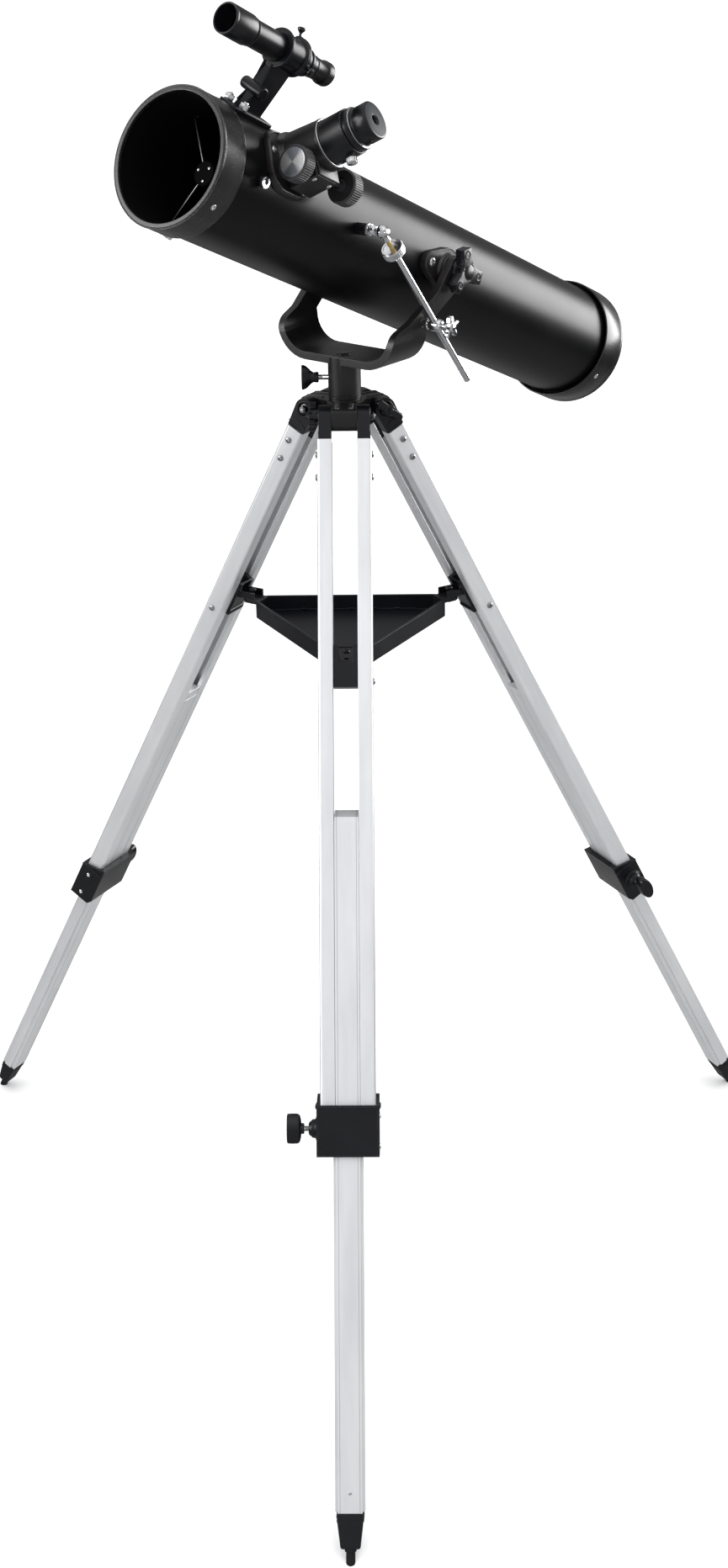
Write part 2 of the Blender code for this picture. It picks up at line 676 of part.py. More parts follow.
def make_azimuth_lock():
    matrix = turn(LOCK_TURN, "Z") @ shift(z=LOCK_HEIGHT) @ ALONG_MINUS_X
    start = POST_RADIUS + 0.0006
    return make_wing_knob("azimuth_lock_knob", FORK, "black_plastic", matrix, start, 0.0150, 0.0230)


def make_trunnion(name, sign):
    """A saddle plate on the tube with the threaded boss of one altitude pivot."""
    outline = belt([(0.0, 0.0245, 0.0100), (0.0, 0.0, 0.0190), (0.0, -0.0245, 0.0100),
                    (0.0, 0.0, 0.0190)])
    face = TUBE_RADIUS + 0.0055
    spread = turn(pi / 2, "Y")
    slab = plate([(y, x) for x, y in outline], 0.0140, shift(x=sign * (face - 0.0070)) @ spread)
    length = FORK_HALF - FORK_THICK - GAP - face + 0.002
    way = ALONG_X if sign > 0 else ALONG_MINUS_X
    boss = rod(0.0120, length, shift(x=sign * (face - 0.002)) @ way)
    saddle = rod(TUBE_RADIUS + GAP, 0.2, shift(z=-0.1), steps=48)
    thread = rod(0.0042, 0.03, shift(x=sign * (TUBE_RADIUS + 0.0012)) @ way)
    return finish(name, [slab, boss], "cast_paint", TUBE, cuts=[saddle, thread])


def make_altitude_knob(name, sign):
    """A three-lobed hand screw through a fork arm into the trunnion."""
    way = ALONG_X if sign > 0 else ALONG_MINUS_X
    face = FORK_HALF + GAP
    collar = rod(0.0115, 0.0030, shift(z=face))
    grip = plate(lobes(3, 0.0200, 0.0105), 0.0090, shift(z=face + 0.0060))
    cap = cone(0.0065, 0.0055, 0.0060, shift(z=face + 0.0095), steps=20)
    shank = rod(0.0039, 0.0155, shift(z=face - 0.0150), steps=20)
    return finish(name, [collar, grip, cap, shank], "black_plastic", TUBE, way)


# ---- slow-motion control -----------------------------------------------------------------------
def make_slow_motion():
    """A rod from a swivel on the tube to a clamp on the near fork arm."""
    stud = lathe([
        (0.0, 0.0205), (0.0040, 0.0205), (0.0046, 0.0198), (0.0046, 0.0130),
        (0.0052, 0.0120), (0.0052, 0.0004), (0.0, 0.0004),
    ], shift(x=TUBE_RADIUS) @ ALONG_X, steps=20)
    stud_place = shift(y=SWIVEL_Y, z=SWIVEL_Z)
    saddle = rod(TUBE_RADIUS + GAP, 0.2, stud_place.inverted() @ shift(z=0.03), steps=48)
    finish("slow_motion_stud", [stud], "black_plastic", TUBE, stud_place, cuts=[saddle])

    pivot = Vector((0.0, ALTITUDE_BACK, ALTITUDE_HEIGHT))
    swivel = pivot + Vector((0.0, -cos(TUBE_RISE), sin(TUBE_RISE))) * SWIVEL_Z
    clamp = Vector((0.0, CLAMP_BACK, CLAMP_HEIGHT))
    down = (clamp - swivel).normalized()
    lean = asin(down.y)
    span = (clamp - swivel).length
    line = empty(
        "slow_motion_line",
        shift(x=ROD_PLANE, y=clamp.y, z=clamp.z) @ turn(lean, "X"),
        FORK,
    )
    # In this frame the rod runs along Z, up to the swivel, and the clamp is at the origin.
    eye = rod(0.0052, 0.0100, shift(x=-0.0056, z=span) @ ALONG_X, steps=20)
    thread = rod(0.0020, 0.0330, shift(z=span - 0.0360), steps=16)
    finish("slow_motion_swivel", [eye, thread], "chrome", line)

    nut = lathe([
        (0.0100, span - 0.0190), (0.0108, span - 0.0200), (0.0108, span - 0.0260),
        (0.0100, span - 0.0270), (0.0040, span - 0.0300), (0.0024, span - 0.0300),
        (0.0024, span - 0.0250), (0.0075, span - 0.0230), (0.0080, span - 0.0190),
    ], steps=28)
    finish("slow_motion_nut", [nut], "chrome", line)

    top = span - 0.0303
    low = span - ROD_LENGTH_TOTAL
    shaft = rod(ROD_RADIUS, top - low, shift(z=low), steps=20)
    socket = rod(0.0023, 0.0120, shift(z=top - 0.0100), steps=16)
    finish("slow_motion_rod", [shaft], "chrome", line, cuts=[socket])

    arm = FORK_HALF - 0.0022 - ROD_PLANE
    body = rod(0.0056, 0.0175, shift(x=arm) @ ALONG_X, steps=20)
    pin = rod(0.0030, 0.0085, shift(x=arm - 0.0080) @ ALONG_X, steps=20)
    passage = rod(ROD_RADIUS + GAP, 0.04, shift(z=-0.02), steps=20)
    thread_hole = rod(0.0022, 0.02, shift(x=0.0) @ ALONG_X, steps=16)
    cuts = [passage, thread_hole]
    finish("rod_clamp", [body, pin], "chrome", line, cuts=cuts)

    grip = plate(lobes(5, 0.0100, 0.0055, 4), 0.0060, shift(x=0.0155) @ ALONG_X)
    shank = rod(0.0019, 0.0110, shift(x=0.0036) @ ALONG_X, steps=16)
    neck = rod(0.0040, 0.0050, shift(x=0.0090) @ ALONG_X, steps=16)
    finish("clamp_screw", [grip, shank, neck], "chrome", line)


# ---- telescope tube ----------------------------------------------------------------------------
def make_tube():
    front = TUBE_FRONT - 0.0030
    rear = TUBE_REAR + 0.0050
    inside = TUBE_RADIUS - TUBE_WALL
    shell = lathe([
        (TUBE_RADIUS, front), (TUBE_RADIUS, rear), (inside, rear), (inside, front),
    ], steps=48)
    outward = turn(-FOCUS_TURN, "Z") @ ALONG_Y
    focus_hole = rod(0.0185, 0.0400, shift(z=FOCUS_Z) @ outward @ shift(z=0.0400), steps=28)
    finish("main_tube", [shell], "tube_paint", TUBE, cuts=[focus_hole])


def make_front_ring():
    front = TUBE_FRONT
    back = TUBE_FRONT - FRONT_RING_LENGTH
    outer = FRONT_RING_RADIUS
    inside = TUBE_RADIUS + GAP
    ring = lathe([
        (outer - 0.0012, front), (outer, front - 0.0012), (outer, back + 0.0008),
        (outer - 0.0008, back), (inside, back), (inside, front - 0.0027),
        (TUBE_RADIUS - TUBE_WALL - 0.0010, front - 0.0027),
        (TUBE_RADIUS - TUBE_WALL - 0.0010, front),
    ], steps=48)
    finish("front_ring", [ring], "cast_paint", TUBE)


def make_rear_cell():
    """The cup on the tube's rear end that carries the primary mirror."""
    rear = TUBE_REAR
    front = TUBE_REAR + REAR_RING_LENGTH
    outer = REAR_RING_RADIUS
    inside = TUBE_RADIUS + GAP
    mouth = outer - 0.0018
    cup = lathe([
        (outer - 0.0006, front), (outer, front - 0.0006), (outer, rear + 0.0062),
        (outer - 0.0007, rear + 0.0056), (outer - 0.0007, rear + 0.0015),
        (outer - 0.0020, rear), (0.0, rear), (0.0, rear + 0.0040),
        (inside, rear + 0.0040), (inside, front - 0.0120), (mouth, front - 0.0110),
        (mouth, front),
    ], steps=48)
    return finish("rear_cell", [cup], "cast_paint", TUBE)


def make_primary_mirror():
    """The concave mirror on its holder plate, just in front of the cell's back."""
    back = TUBE_REAR + 0.0054
    disc = lathe([
        (0.0, back + 0.0160), (0.0200, back + 0.0163), (MIRROR_RADIUS, back + 0.0170),
        (MIRROR_RADIUS, back + 0.0070), (0.0500, back + 0.0070), (0.0500, back), (0.0, back),
    ], steps=36)
    return finish("primary_mirror", [disc], "mirror", TUBE)


def make_spider():
    """Three thin vanes from the tube wall to a central ring."""
    length = 0.0120
    ring = rod(0.0100, length, shift(z=SPIDER_Z - length / 2))
    bore = rod(0.0078, length + 0.01, shift(z=SPIDER_Z - length))
    solids = [ring]
    for heading in (90, 210, 330):
        spin = turn(-radians(heading), "Z")
        low = (-0.0005, 0.0090, SPIDER_Z - 0.0045)
        high = (0.0005, TUBE_RADIUS - TUBE_WALL - 0.0015, SPIDER_Z + 0.0045)
        solids.append(block(low, high, spin))
        end_low = (-0.0030, TUBE_RADIUS - TUBE_WALL - 0.0025, SPIDER_Z - 0.0030)
        end_high = (0.0030, TUBE_RADIUS - TUBE_WALL - 0.0006, SPIDER_Z + 0.0030)
        solids.append(block(end_low, end_high, spin))
    return finish("spider", solids, "black_plastic", TUBE, cuts=[bore])


def make_secondary():
    """The small flat mirror on its slanted holder, under the focuser."""
    stalk = rod(0.0075, 0.0300, shift(z=SPIDER_Z - 0.0250), steps=20)
    body = rod(0.0105, 0.0340, shift(z=FOCUS_Z - 0.0130), steps=28)
    slope = turn(-FOCUS_TURN, "Z") @ turn(radians(45), "X")
    wedge = block((-0.05, -0.05, -0.05), (0.05, 0.05, 0.0))
    wedge.matrix_basis = shift(z=FOCUS_Z) @ slope
    return finish("secondary_mirror", [body, stalk], "black_plastic", TUBE, cuts=[wedge])


# ---- focuser and eyepiece ----------------------------------------------------------------------
def make_focuser():
    """Rack focuser: Z runs out of the tube, X towards the tube's mouth, Y to the lower side."""
    outward = Matrix((
        (0.0, cos(FOCUS_TURN), sin(FOCUS_TURN), 0.0),
        (0.0, -sin(FOCUS_TURN), cos(FOCUS_TURN), 0.0),
        (1.0, 0.0, 0.0, FOCUS_Z),
        (0.0, 0.0, 0.0, 1.0),
    ))
    base = empty("focuser_frame", outward, TUBE)
    along = turn(pi / 2, "Y")
    flange = plate(rounded_box(0.0295, 0.0265, 0.0150, 5), 0.0300, shift(x=0.0080, y=0.0030, z=0.0450))
    trim = lathe([(0.0800, 0.1), (0.0800, -0.1), (TUBE_RADIUS + 0.0040, -0.1),
                  (TUBE_RADIUS + 0.0040, 0.1)], along, steps=48)
    combine(flange, [trim], "DIFFERENCE")
    cone_low = TUBE_RADIUS - 0.0080
    tower = cone(0.0240, 0.0208, 0.0940 - cone_low, shift(z=cone_low), steps=36)
    cradle = block((-0.0120, 0.0100, 0.0600), (0.0150, 0.0290, 0.0850))
    saddle = rod(TUBE_RADIUS + GAP, 0.2, shift(x=-0.1) @ along, steps=48)
    bore = rod(0.0166, 0.1, shift(z=0.03), steps=32)
    shaft_bore = rod(0.0030, 0.1, shift(x=-0.05, y=0.0215, z=0.0781) @ along, steps=20)
    relief = block((-0.0045, 0.0150, 0.0725), (0.0045, 0.0262, 0.0837))
    groove = block((-0.0030, 0.0100, 0.0300), (0.0030, 0.0178, 0.1000))
    cuts = [saddle, bore, shaft_bore, relief, groove]
    solids = [flange, tower, cradle]
    finish("focuser_body", solids, "cast_paint", base, cuts=cuts)
    bpy.data.objects.remove(trim, do_unlink=True)

    draw = lathe([
        (0.0190, 0.1170), (0.0190, 0.0945), (0.0162, 0.0943), (0.0162, 0.0400),
        (0.0145, 0.0400), (0.0145, 0.0900), (0.0161, 0.0930), (0.0161, 0.1170),
    ], steps=32)
    rack = block((-0.0024, 0.0152, 0.0410), (0.0024, 0.0172, 0.0925))
    set_bore = rod(0.0017, 0.03, shift(y=0.0100, z=0.1100) @ ALONG_Y, steps=16)
    finish("focuser_drawtube", [draw, rack], "black_plastic", base, cuts=[set_bore])

    shaft = rod(0.0026, 0.0700, shift(x=-0.0330) @ ALONG_X, steps=20)
    front_knob = lathe([
        (0.0, 0.0375), (0.0128, 0.0375), (0.0146, 0.0365), (0.0146, 0.0260),
        (0.0136, 0.0245), (0.0, 0.0245),
    ], ALONG_X, steps=36)
    rear_knob = lathe([
        (0.0, 0.0415), (0.0128, 0.0415), (0.0146, 0.0405), (0.0146, 0.0300),
        (0.0136, 0.0285), (0.0, 0.0285),
    ], ALONG_MINUS_X, steps=36)
    pinion = rod(0.0040, 0.0080, shift(x=-0.0040) @ ALONG_X, steps=12)
    solids = [shaft, front_knob, rear_knob, pinion]
    finish("focus_knobs", solids, "black_plastic", base, shift(y=0.0215, z=0.0781))

    eyepiece = lathe([
        (0.0, 0.1385), (0.0150, 0.1385), (0.0158, 0.1375), (0.0158, 0.1240),
        (0.0178, 0.1225), (0.0178, 0.1173), (0.0156, 0.1171), (0.0156, 0.0960), (0.0, 0.0960),
    ], steps=32)
    pupil = rod(0.0030, 0.0060, shift(z=0.1340), steps=20)
    finish("eyepiece", [eyepiece], "black_plastic", base, cuts=[pupil])

    screw = lathe([
        (0.0, 0.0100), (0.0040, 0.0100), (0.0046, 0.0092), (0.0046, 0.0052), (0.0020, 0.0046),
        (0.0014, 0.0042), (0.0014, 0.0001), (0.0, 0.0001),
    ], steps=16)
    finish("eyepiece_screw", [screw], "chrome", base, shift(y=0.0160, z=0.1100) @ ALONG_Y)


# ---- finder ------------------------------------------------------------------------------------
def make_finder():
    """The finder telescope: Y of its frame runs out of the tube, Z towards the mouth."""
    base = empty("finder_frame", shift(z=FINDER_Z) @ turn(-FINDER_TURN, "Z"), TUBE)
    middle = -0.0010
    foot = block((-0.0090, TUBE_RADIUS - 0.0030, -0.0300), (0.0090, TUBE_RADIUS + 0.0045, 0.0182))
    saddle = rod(TUBE_RADIUS + GAP, 0.2, shift(z=-0.1), steps=48)
    stem_low = Vector((0.0, TUBE_RADIUS + 0.0030))
    arm_outline = [
        (-0.0170, stem_low.y), (0.0060, stem_low.y), (0.0010, stem_low.y + 0.0200),
        (middle, FINDER_AXIS - 0.0120), (middle - 0.0220, FINDER_AXIS - 0.0120),
    ]
    arm = plate([(-z, y) for z, y in arm_outline], 0.0110, turn(pi / 2, "Y"))
    bridge = rod(0.0050, 0.0240, shift(x=-0.0120, y=TUBE_RADIUS + 0.0230, z=0.0) @ ALONG_X, steps=20)
    inner = 0.0114
    ring = lathe([
        (0.0158, middle + 0.0010), (0.0158, middle - 0.0018), (0.0136, middle - 0.0030),
        (0.0136, middle - 0.0195), (0.0158, middle - 0.0207), (0.0158, middle - 0.0240),
        (inner, middle - 0.0240), (inner, middle + 0.0010),
    ], shift(y=FINDER_AXIS), steps=32)
    cuts = [saddle]
    screws = []
    for index, heading in enumerate((0, 120, 240)):
        angle = FINDER_TURN - radians(heading)
        spin = shift(y=FINDER_AXIS, z=middle - 0.0222) @ turn(angle, "Z") @ ALONG_Y
        cuts.append(rod(0.0013, 0.03, spin @ shift(z=0.0100), steps=12))
        screws.append(spin)
    tube_clear = rod(inner, 0.08, shift(y=FINDER_AXIS, z=-0.06), steps=32)
    cuts.append(tube_clear)
    finish("finder_bracket", [foot, arm, bridge, ring], "black_plastic", base, cuts=cuts)
    for index, spin in enumerate(screws[:2]):
        screw = lathe([
            (0.0, 0.0238), (0.0030, 0.0238), (0.0034, 0.0215), (0.0014, 0.0190),
            (0.0010, 0.0186), (0.0010, 0.0113), (0.0, 0.0113),
        ], steps=14)
        finish(f"finder_screw_{index + 1}", [screw], "chrome", base, spin)

    barrel = lathe([
        (0.0112, 0.0660), (0.0126, 0.0655), (0.0128, 0.0390), (0.0110, 0.0365),
        (0.0110, -0.0370), (0.0088, -0.0400), (0.0086, -0.0570), (0.0100, -0.0585),
        (0.0100, -0.0655), (0.0090, -0.0660), (0.0, -0.0660), (0.0, 0.0450), (0.0105, 0.0460),
    ], shift(y=FINDER_AXIS), steps=32)
    finish("finder_tube", [barrel], "black_plastic", base)


# ---- the whole object --------------------------------------------------------------------------
def main():
    for index in range(LEG_COUNT):
        make_leg(index)
    make_hub()
    make_azimuth_bolt()
    make_tray()
    make_fork()
    make_azimuth_lock()
    for name, sign in (("near", 1), ("far", -1)):
        make_trunnion(f"trunnion_{name}", sign)
        make_altitude_knob(f"altitude_knob_{name}", sign)
    make_slow_motion()
    make_tube()
    make_front_ring()
    make_rear_cell()
    make_primary_mirror()
    make_spider()
    make_secondary()
    make_focuser()
    make_finder()


main()
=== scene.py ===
"""Looks of the alt-azimuth mount: materials, fine parts, floor, lights and camera."""

import json
from math import acos, atan2, cos, hypot, pi, radians, sin

import bmesh
import bpy
from mathutils import Matrix, Vector


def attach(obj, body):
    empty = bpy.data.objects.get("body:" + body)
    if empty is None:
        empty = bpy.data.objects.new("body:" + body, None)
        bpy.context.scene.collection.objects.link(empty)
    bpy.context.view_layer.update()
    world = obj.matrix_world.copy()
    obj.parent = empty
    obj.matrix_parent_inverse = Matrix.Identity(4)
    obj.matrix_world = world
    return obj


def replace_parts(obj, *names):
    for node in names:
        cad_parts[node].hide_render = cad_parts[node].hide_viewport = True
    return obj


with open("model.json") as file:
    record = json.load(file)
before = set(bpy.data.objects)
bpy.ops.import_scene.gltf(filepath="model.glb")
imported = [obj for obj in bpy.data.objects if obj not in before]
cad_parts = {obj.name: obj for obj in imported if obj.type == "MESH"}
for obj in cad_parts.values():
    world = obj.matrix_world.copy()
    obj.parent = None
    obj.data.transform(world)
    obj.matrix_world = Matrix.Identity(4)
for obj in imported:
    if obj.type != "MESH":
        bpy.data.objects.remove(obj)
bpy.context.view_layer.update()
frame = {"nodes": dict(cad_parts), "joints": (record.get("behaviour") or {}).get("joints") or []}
NODES = frame["nodes"]
JOINTS = {joint["name"]: joint for joint in frame["joints"]}


# ---- local frames, from the joints --------------------------------------------------------------
def joint_axis(name):
    return Vector(JOINTS[name]["axis"]).normalized()


def joint_place(name):
    return Vector(JOINTS[name]["pos_m"])


def frame_of(origin, x_axis, z_axis):
    """The matrix of a frame with these X and Z axes."""
    y_axis = z_axis.cross(x_axis)
    rows = zip(x_axis, y_axis, z_axis, origin)
    return Matrix([*rows, (0.0, 0.0, 0.0, 1.0)])


def shift(x=0.0, y=0.0, z=0.0):
    return Matrix.Translation((x, y, z))


def turn(angle, axis):
    return Matrix.Rotation(angle, 4, axis)


def pointing(place, direction):
    """A frame at a place whose Z runs along a direction."""
    return Matrix.Translation(place) @ Vector(direction).to_track_quat("Z", "Y").to_matrix().to_4x4()


ALONG_X = turn(pi / 2, "Y")
ALONG_MINUS_X = turn(-pi / 2, "Y")
ALONG_Y = turn(-pi / 2, "X")
UPRIGHT = turn(pi / 2, "X")
UP = Vector((0.0, 0.0, 1.0))

AXIS = joint_place("azimuth").copy()
AXIS.z = 0.0
LEGS = {
    i: frame_of(joint_place(f"leg_{i}_spread"), joint_axis(f"leg_{i}_bolt_turn"),
    -joint_axis(f"leg_{i}_extend")) for i in (1, 2, 3) }
TUBE_X = -joint_axis("altitude")
TUBE_Z = TUBE_X.cross(joint_axis("focus_travel")).normalized()
TUBE = frame_of(joint_place("altitude"), TUBE_X, TUBE_Z)
FORK = frame_of(AXIS, TUBE_X, UP)
FOCUS_Z = joint_axis("focus_travel")
FOCUS_X = -joint_axis("focus_knob_turn")
KNOB_OUT = 0.0781  # focus shaft above the tube's axis
KNOB_SIDE = 0.0215
FOCUSER = frame_of(joint_place("focus_knob_turn"), FOCUS_X, FOCUS_Z) @ shift(y=-KNOB_SIDE, z=-KNOB_OUT)
LINE = frame_of(
    joint_place("rod_clamp_swing"), -joint_axis("rod_clamp_swing"), joint_axis("rod_travel"))


# ---- shapes -------------------------------------------------------------------------------------
def mm(*points, at=0.0):
    """A profile in metres from (radius, height) points in millimetres, the heights counted from at."""
    return [(radius / 1000, at + height / 1000) for radius, height in points]


def turned(profile, steps=40):
    """A turned shape about Z from (radius, z) points, listed from the top down the outside."""
    shape = bmesh.new()
    rings = []
    for radius, z in profile:
        if radius < 1e-6:
            rings.append([shape.verts.new((0.0, 0.0, z))])
            continue
        angles = [2 * pi * i / steps for i in range(steps)]
        rings.append([shape.verts.new((radius * cos(a), radius * sin(a), z)) for a in angles])
    pairs = list(zip(rings, rings[1:]))
    if profile[0][0] > 1e-6 and profile[-1][0] > 1e-6:
        pairs.append((rings[-1], rings[0]))
    for upper, lower in pairs:
        for i in range(steps):
            j = (i + 1) % steps
            corners = [
                upper[i % len(upper)], lower[i % len(lower)], lower[j % len(lower)], upper[j %
                len(upper)]]
            corners = list(dict.fromkeys(corners))
            if len(corners) > 2:
                shape.faces.new(corners)
    bmesh.ops.recalc_face_normals(shape, faces=shape.faces)
    return shape


def rod(radius, low, high, edge=0.0003, steps=24):
    edge = min(edge, radius * 0.45, (high - low) * 0.45)
    return turned(
        [(0.0, high), (radius - edge, high), (radius, high - edge), (radius, low + edge), (radius -
        edge, low), (0.0, low)], steps)


def soften(shape, width, segments=2, angle=38):
    edges = [
        edge for edge in shape.edges if len(edge.link_faces) == 2 and edge.calc_face_angle(0.0) >
        radians(angle)]
    if edges:
        bmesh.ops.bevel(
            shape, geom=edges, offset=width, segments=segments, profile=0.5, affect="EDGES",
            clamp_overlap=True)
    return shape


def prism(outline, low, high, edge=0.0, segments=2):
    """A flat outline in XY raised from z = low to z = high."""
    shape = bmesh.new()
    base = [shape.verts.new((x, y, low)) for x, y in outline]
    top = [shape.verts.new((x, y, high)) for x, y in outline]
    count = len(outline)
    shape.faces.new(base)
    shape.faces.new(top)
    for i in range(count):
        j = (i + 1) % count
        shape.faces.new((base[i], base[j], top[j], top[i]))
    bmesh.ops.recalc_face_normals(shape, faces=shape.faces)
    if edge:
        soften(shape, edge, segments)
    return shape


def cuboid(low, high, edge=0.0004, segments=2):
    x0, y0, z0 = low
    x1, y1, z1 = high
    return prism([(x0, y0), (x1, y0), (x1, y1), (x0, y1)], z0, z1, edge, segments)


def arc(centre, radius, start, end, steps):
    angles = [radians(start + (end - start) * i / steps) for i in range(steps + 1)]
    return [(centre[0] + radius * cos(a), centre[1] + radius * sin(a)) for a in angles]


def rounded_box(half_x, half_y, radius, steps=4):
    points = []
    for sign_x, sign_y, start in ((1, 1, 0), (-1, 1, 90), (-1, -1, 180), (1, -1, 270)):
        centre = (sign_x * (half_x - radius), sign_y * (half_y - radius))
        points += arc(centre, radius, start, start + 90, steps)
    return points


def belt(circles, steps=10):
    """Outline of a belt drawn tight round circles (x, y, radius), listed anticlockwise."""
    joints = []
    for (ax, ay, ar), (bx, by, br) in zip(circles, circles[1:] + circles[:1]):
        heading = atan2(by - ay, bx - ax)
        joints.append(heading - acos((ar - br) / hypot(bx - ax, by - ay)))
    points = []
    for i, (x, y, radius) in enumerate(circles):
        start = joints[i - 1]
        end = joints[i]
        while end < start:
            end += 2 * pi
        points += arc((x, y), radius, start * 180 / pi, end * 180 / pi, steps)
    return points


def toothed(radius, depth, teeth):
    """Outline of a knurled rim."""
    points = []
    for i in range(teeth):
        for share, height in ((0.0, 0.0), (0.28, depth), (0.62, depth), (0.90, 0.0)):
            angle = 2 * pi * (i + share) / teeth
            points.append(
                ((radius - depth + height) * cos(angle), (radius - depth + height) * sin(angle)))
    return points


def add_object(name, data):
    obj = bpy.data.objects.new(name, data)
    bpy.context.scene.collection.objects.link(obj)
    return obj


def moved(shape, matrix):
    bmesh.ops.transform(shape, matrix=matrix, verts=shape.verts)
    return shape


def cut(shape, cutters):
    """The shape with the cutters taken away, as a bmesh."""
    made = []
    for item in (shape, *cutters):
        mesh = bpy.data.meshes.new("cut")
        item.to_mesh(mesh)
        item.free()
        made.append(add_object("cut", mesh))
    for cutter in made[1:]:
        modifier = made[0].modifiers.new("Cut", "BOOLEAN")
        modifier.operation = "DIFFERENCE"
        modifier.solver = "EXACT"
        modifier.object = cutter
    bpy.context.view_layer.update()
    graph = bpy.context.evaluated_depsgraph_get()
    result = bmesh.new()
    result.from_mesh(made[0].evaluated_get(graph).to_mesh())
    for item in made:
        mesh = item.data
        bpy.data.objects.remove(item, do_unlink=True)
        bpy.data.meshes.remove(mesh)
    return result


def piece(name, shapes, material, body, matrix=None, slot="moulding", smooth=35):
    """Joins shapes in one object, shades it, places it and lets it ride on its body."""
    mesh = bpy.data.meshes.new(name)
    whole = bmesh.new()
    for shape in shapes:
        part = bpy.data.meshes.new("part")
        shape.to_mesh(part)
        shape.free()
        whole.from_mesh(part)
        bpy.data.meshes.remove(part)
    whole.transform(matrix or Matrix())
    whole.to_mesh(mesh)
    whole.free()
    mesh.materials.append(material)
    mesh.shade_smooth()
    mesh.set_sharp_from_angle(angle=radians(smooth))
    obj = add_object(name, mesh)
    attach(obj, body)
    return obj


def stand_in(node, *values, **named):
    """A piece that is shown in place of a CAD node."""
    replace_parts(piece(*values, **named), node)


def pan_screw(radius, height):
    """A pan-head screw with a cross recess, standing on z = 0."""
    dome = [
        (0.0, height)] + [(radius * sin(a), height * (0.35 + 0.65 * cos(a))) for a in (radians(d) for d
        in (25, 45, 62, 76, 90))] + [(radius, -0.0004), (0.0, -0.0004)]
    head = turned(dome, 24)
    arm = radius * 0.52
    thin = radius * 0.15
    low = height * 0.45
    bars = [
        cuboid((-arm, -thin, low), (arm, thin, height * 2), 0.0), cuboid((-thin, -arm, low), (thin, arm,
        height * 2), 0.0)]
    return cut(head, bars)


# ---- materials ----------------------------------------------------------------------------------
class Graph:
    """Short calls for building the nodes of a material, or of another owner of nodes."""

    def __init__(self, name, owner=None):
        self.material = owner or bpy.data.materials.new(name)
        self.material.use_nodes = True
        self.nodes = self.material.node_tree.nodes
        self.links = self.material.node_tree.links
        self.shader = self.nodes.get("Principled BSDF")

    def preset(self, **values):
        """Numbers for the shader's own sockets."""
        for key, value in values.items():
            self.shader.inputs[key.replace("_", " ")].default_value = value

    def wire(self, socket, source):
        self.links.new(source, self.shader.inputs[socket])

    def add(self, kind, **values):
        node = self.nodes.new(kind)
        for key, value in values.items():
            setattr(node, key, value)
        return node

    def join(self, source, target):
        self.links.new(source, target)

    def noise(self, vector, scale, detail=3.0, roughness=0.55):
        node = self.add("ShaderNodeTexNoise")
        node.inputs["Scale"].default_value = scale
        node.inputs["Detail"].default_value = detail
        node.inputs["Roughness"].default_value = roughness
        self.join(vector, node.inputs["Vector"])
        return node.outputs["Fac"]

    def remap(self, value, low, high, new_low, new_high, curve="LINEAR"):
        node = self.add("ShaderNodeMapRange", interpolation_type=curve)
        for key, number in zip(("From Min", "From Max", "To Min", "To Max"),
                               (low, high, new_low, new_high)):
            node.inputs[key].default_value = number
        self.join(value, node.inputs["Value"])
        return node.outputs["Result"]

    def mix(self, factor, one, two):
        node = self.add("ShaderNodeMix", data_type="RGBA")
        self.join(factor, node.inputs["Factor"])
        for socket, value in ((node.inputs["A"], one), (node.inputs["B"], two)):
            if isinstance(value, tuple):
                socket.default_value = (*value, 1.0)
            else:
                self.join(value, socket)
        return node.outputs["Result"]

    def math(self, operation, one, two=None):
        node = self.add("ShaderNodeMath", operation=operation)
        for socket, value in zip(node.inputs, (one, two)):
            if value is None:
                continue
            if isinstance(value, (int, float)):
                socket.default_value = value
            else:
                self.join(value, socket)
        return node.outputs["Value"]

    def place(self, matrix=None, scale=(1.0, 1.0, 1.0)):
        """Object coordinates, in a local frame if one is given, then scaled."""
        vector = self.add("ShaderNodeTexCoord").outputs["Object"]
        if matrix is not None:
            back = matrix.inverted()
            vector = self.mapped(vector, Location=back.translation, Rotation=back.to_euler())
        return vector if scale == (1.0, 1.0, 1.0) else self.mapped(vector, Scale=scale)

    def mapped(self, vector, **values):
        node = self.add("ShaderNodeMapping")
        for key, value in values.items():
            node.inputs[key].default_value = value
        self.join(vector, node.inputs["Vector"])
        return node.outputs["Vector"]

    def split(self, vector):
        node = self.add("ShaderNodeSeparateXYZ")
        self.join(vector, node.inputs["Vector"])
        return node.outputs

    def bump(self, height, strength, distance, normal=None):
        node = self.add("ShaderNodeBump")
        node.inputs["Strength"].default_value = strength
        node.inputs["Distance"].default_value = distance
        self.join(height, node.inputs["Height"])
        if normal is not None:
            self.join(normal, node.inputs["Normal"])
        return node.outputs["Normal"]

    def edges(self, radius):
        """A rounded normal and a mask that is 1 on outer edges."""
        bevel = self.add("ShaderNodeBevel", samples=4)
        bevel.inputs["Radius"].default_value = radius
        plain = self.add("ShaderNodeNewGeometry").outputs["Normal"]
        dot = self.add("ShaderNodeVectorMath", operation="DOT_PRODUCT")
        self.join(bevel.outputs["Normal"], dot.inputs[0])
        self.join(plain, dot.inputs[1])
        mask = self.remap(dot.outputs["Value"], 0.99, 0.80, 0.0, 1.0)
        return bevel.outputs["Normal"], mask


def tint(colour, share):
    return tuple(min(1.0, channel * share) for channel in colour)


GRAIN_DEPTH = 0.0002


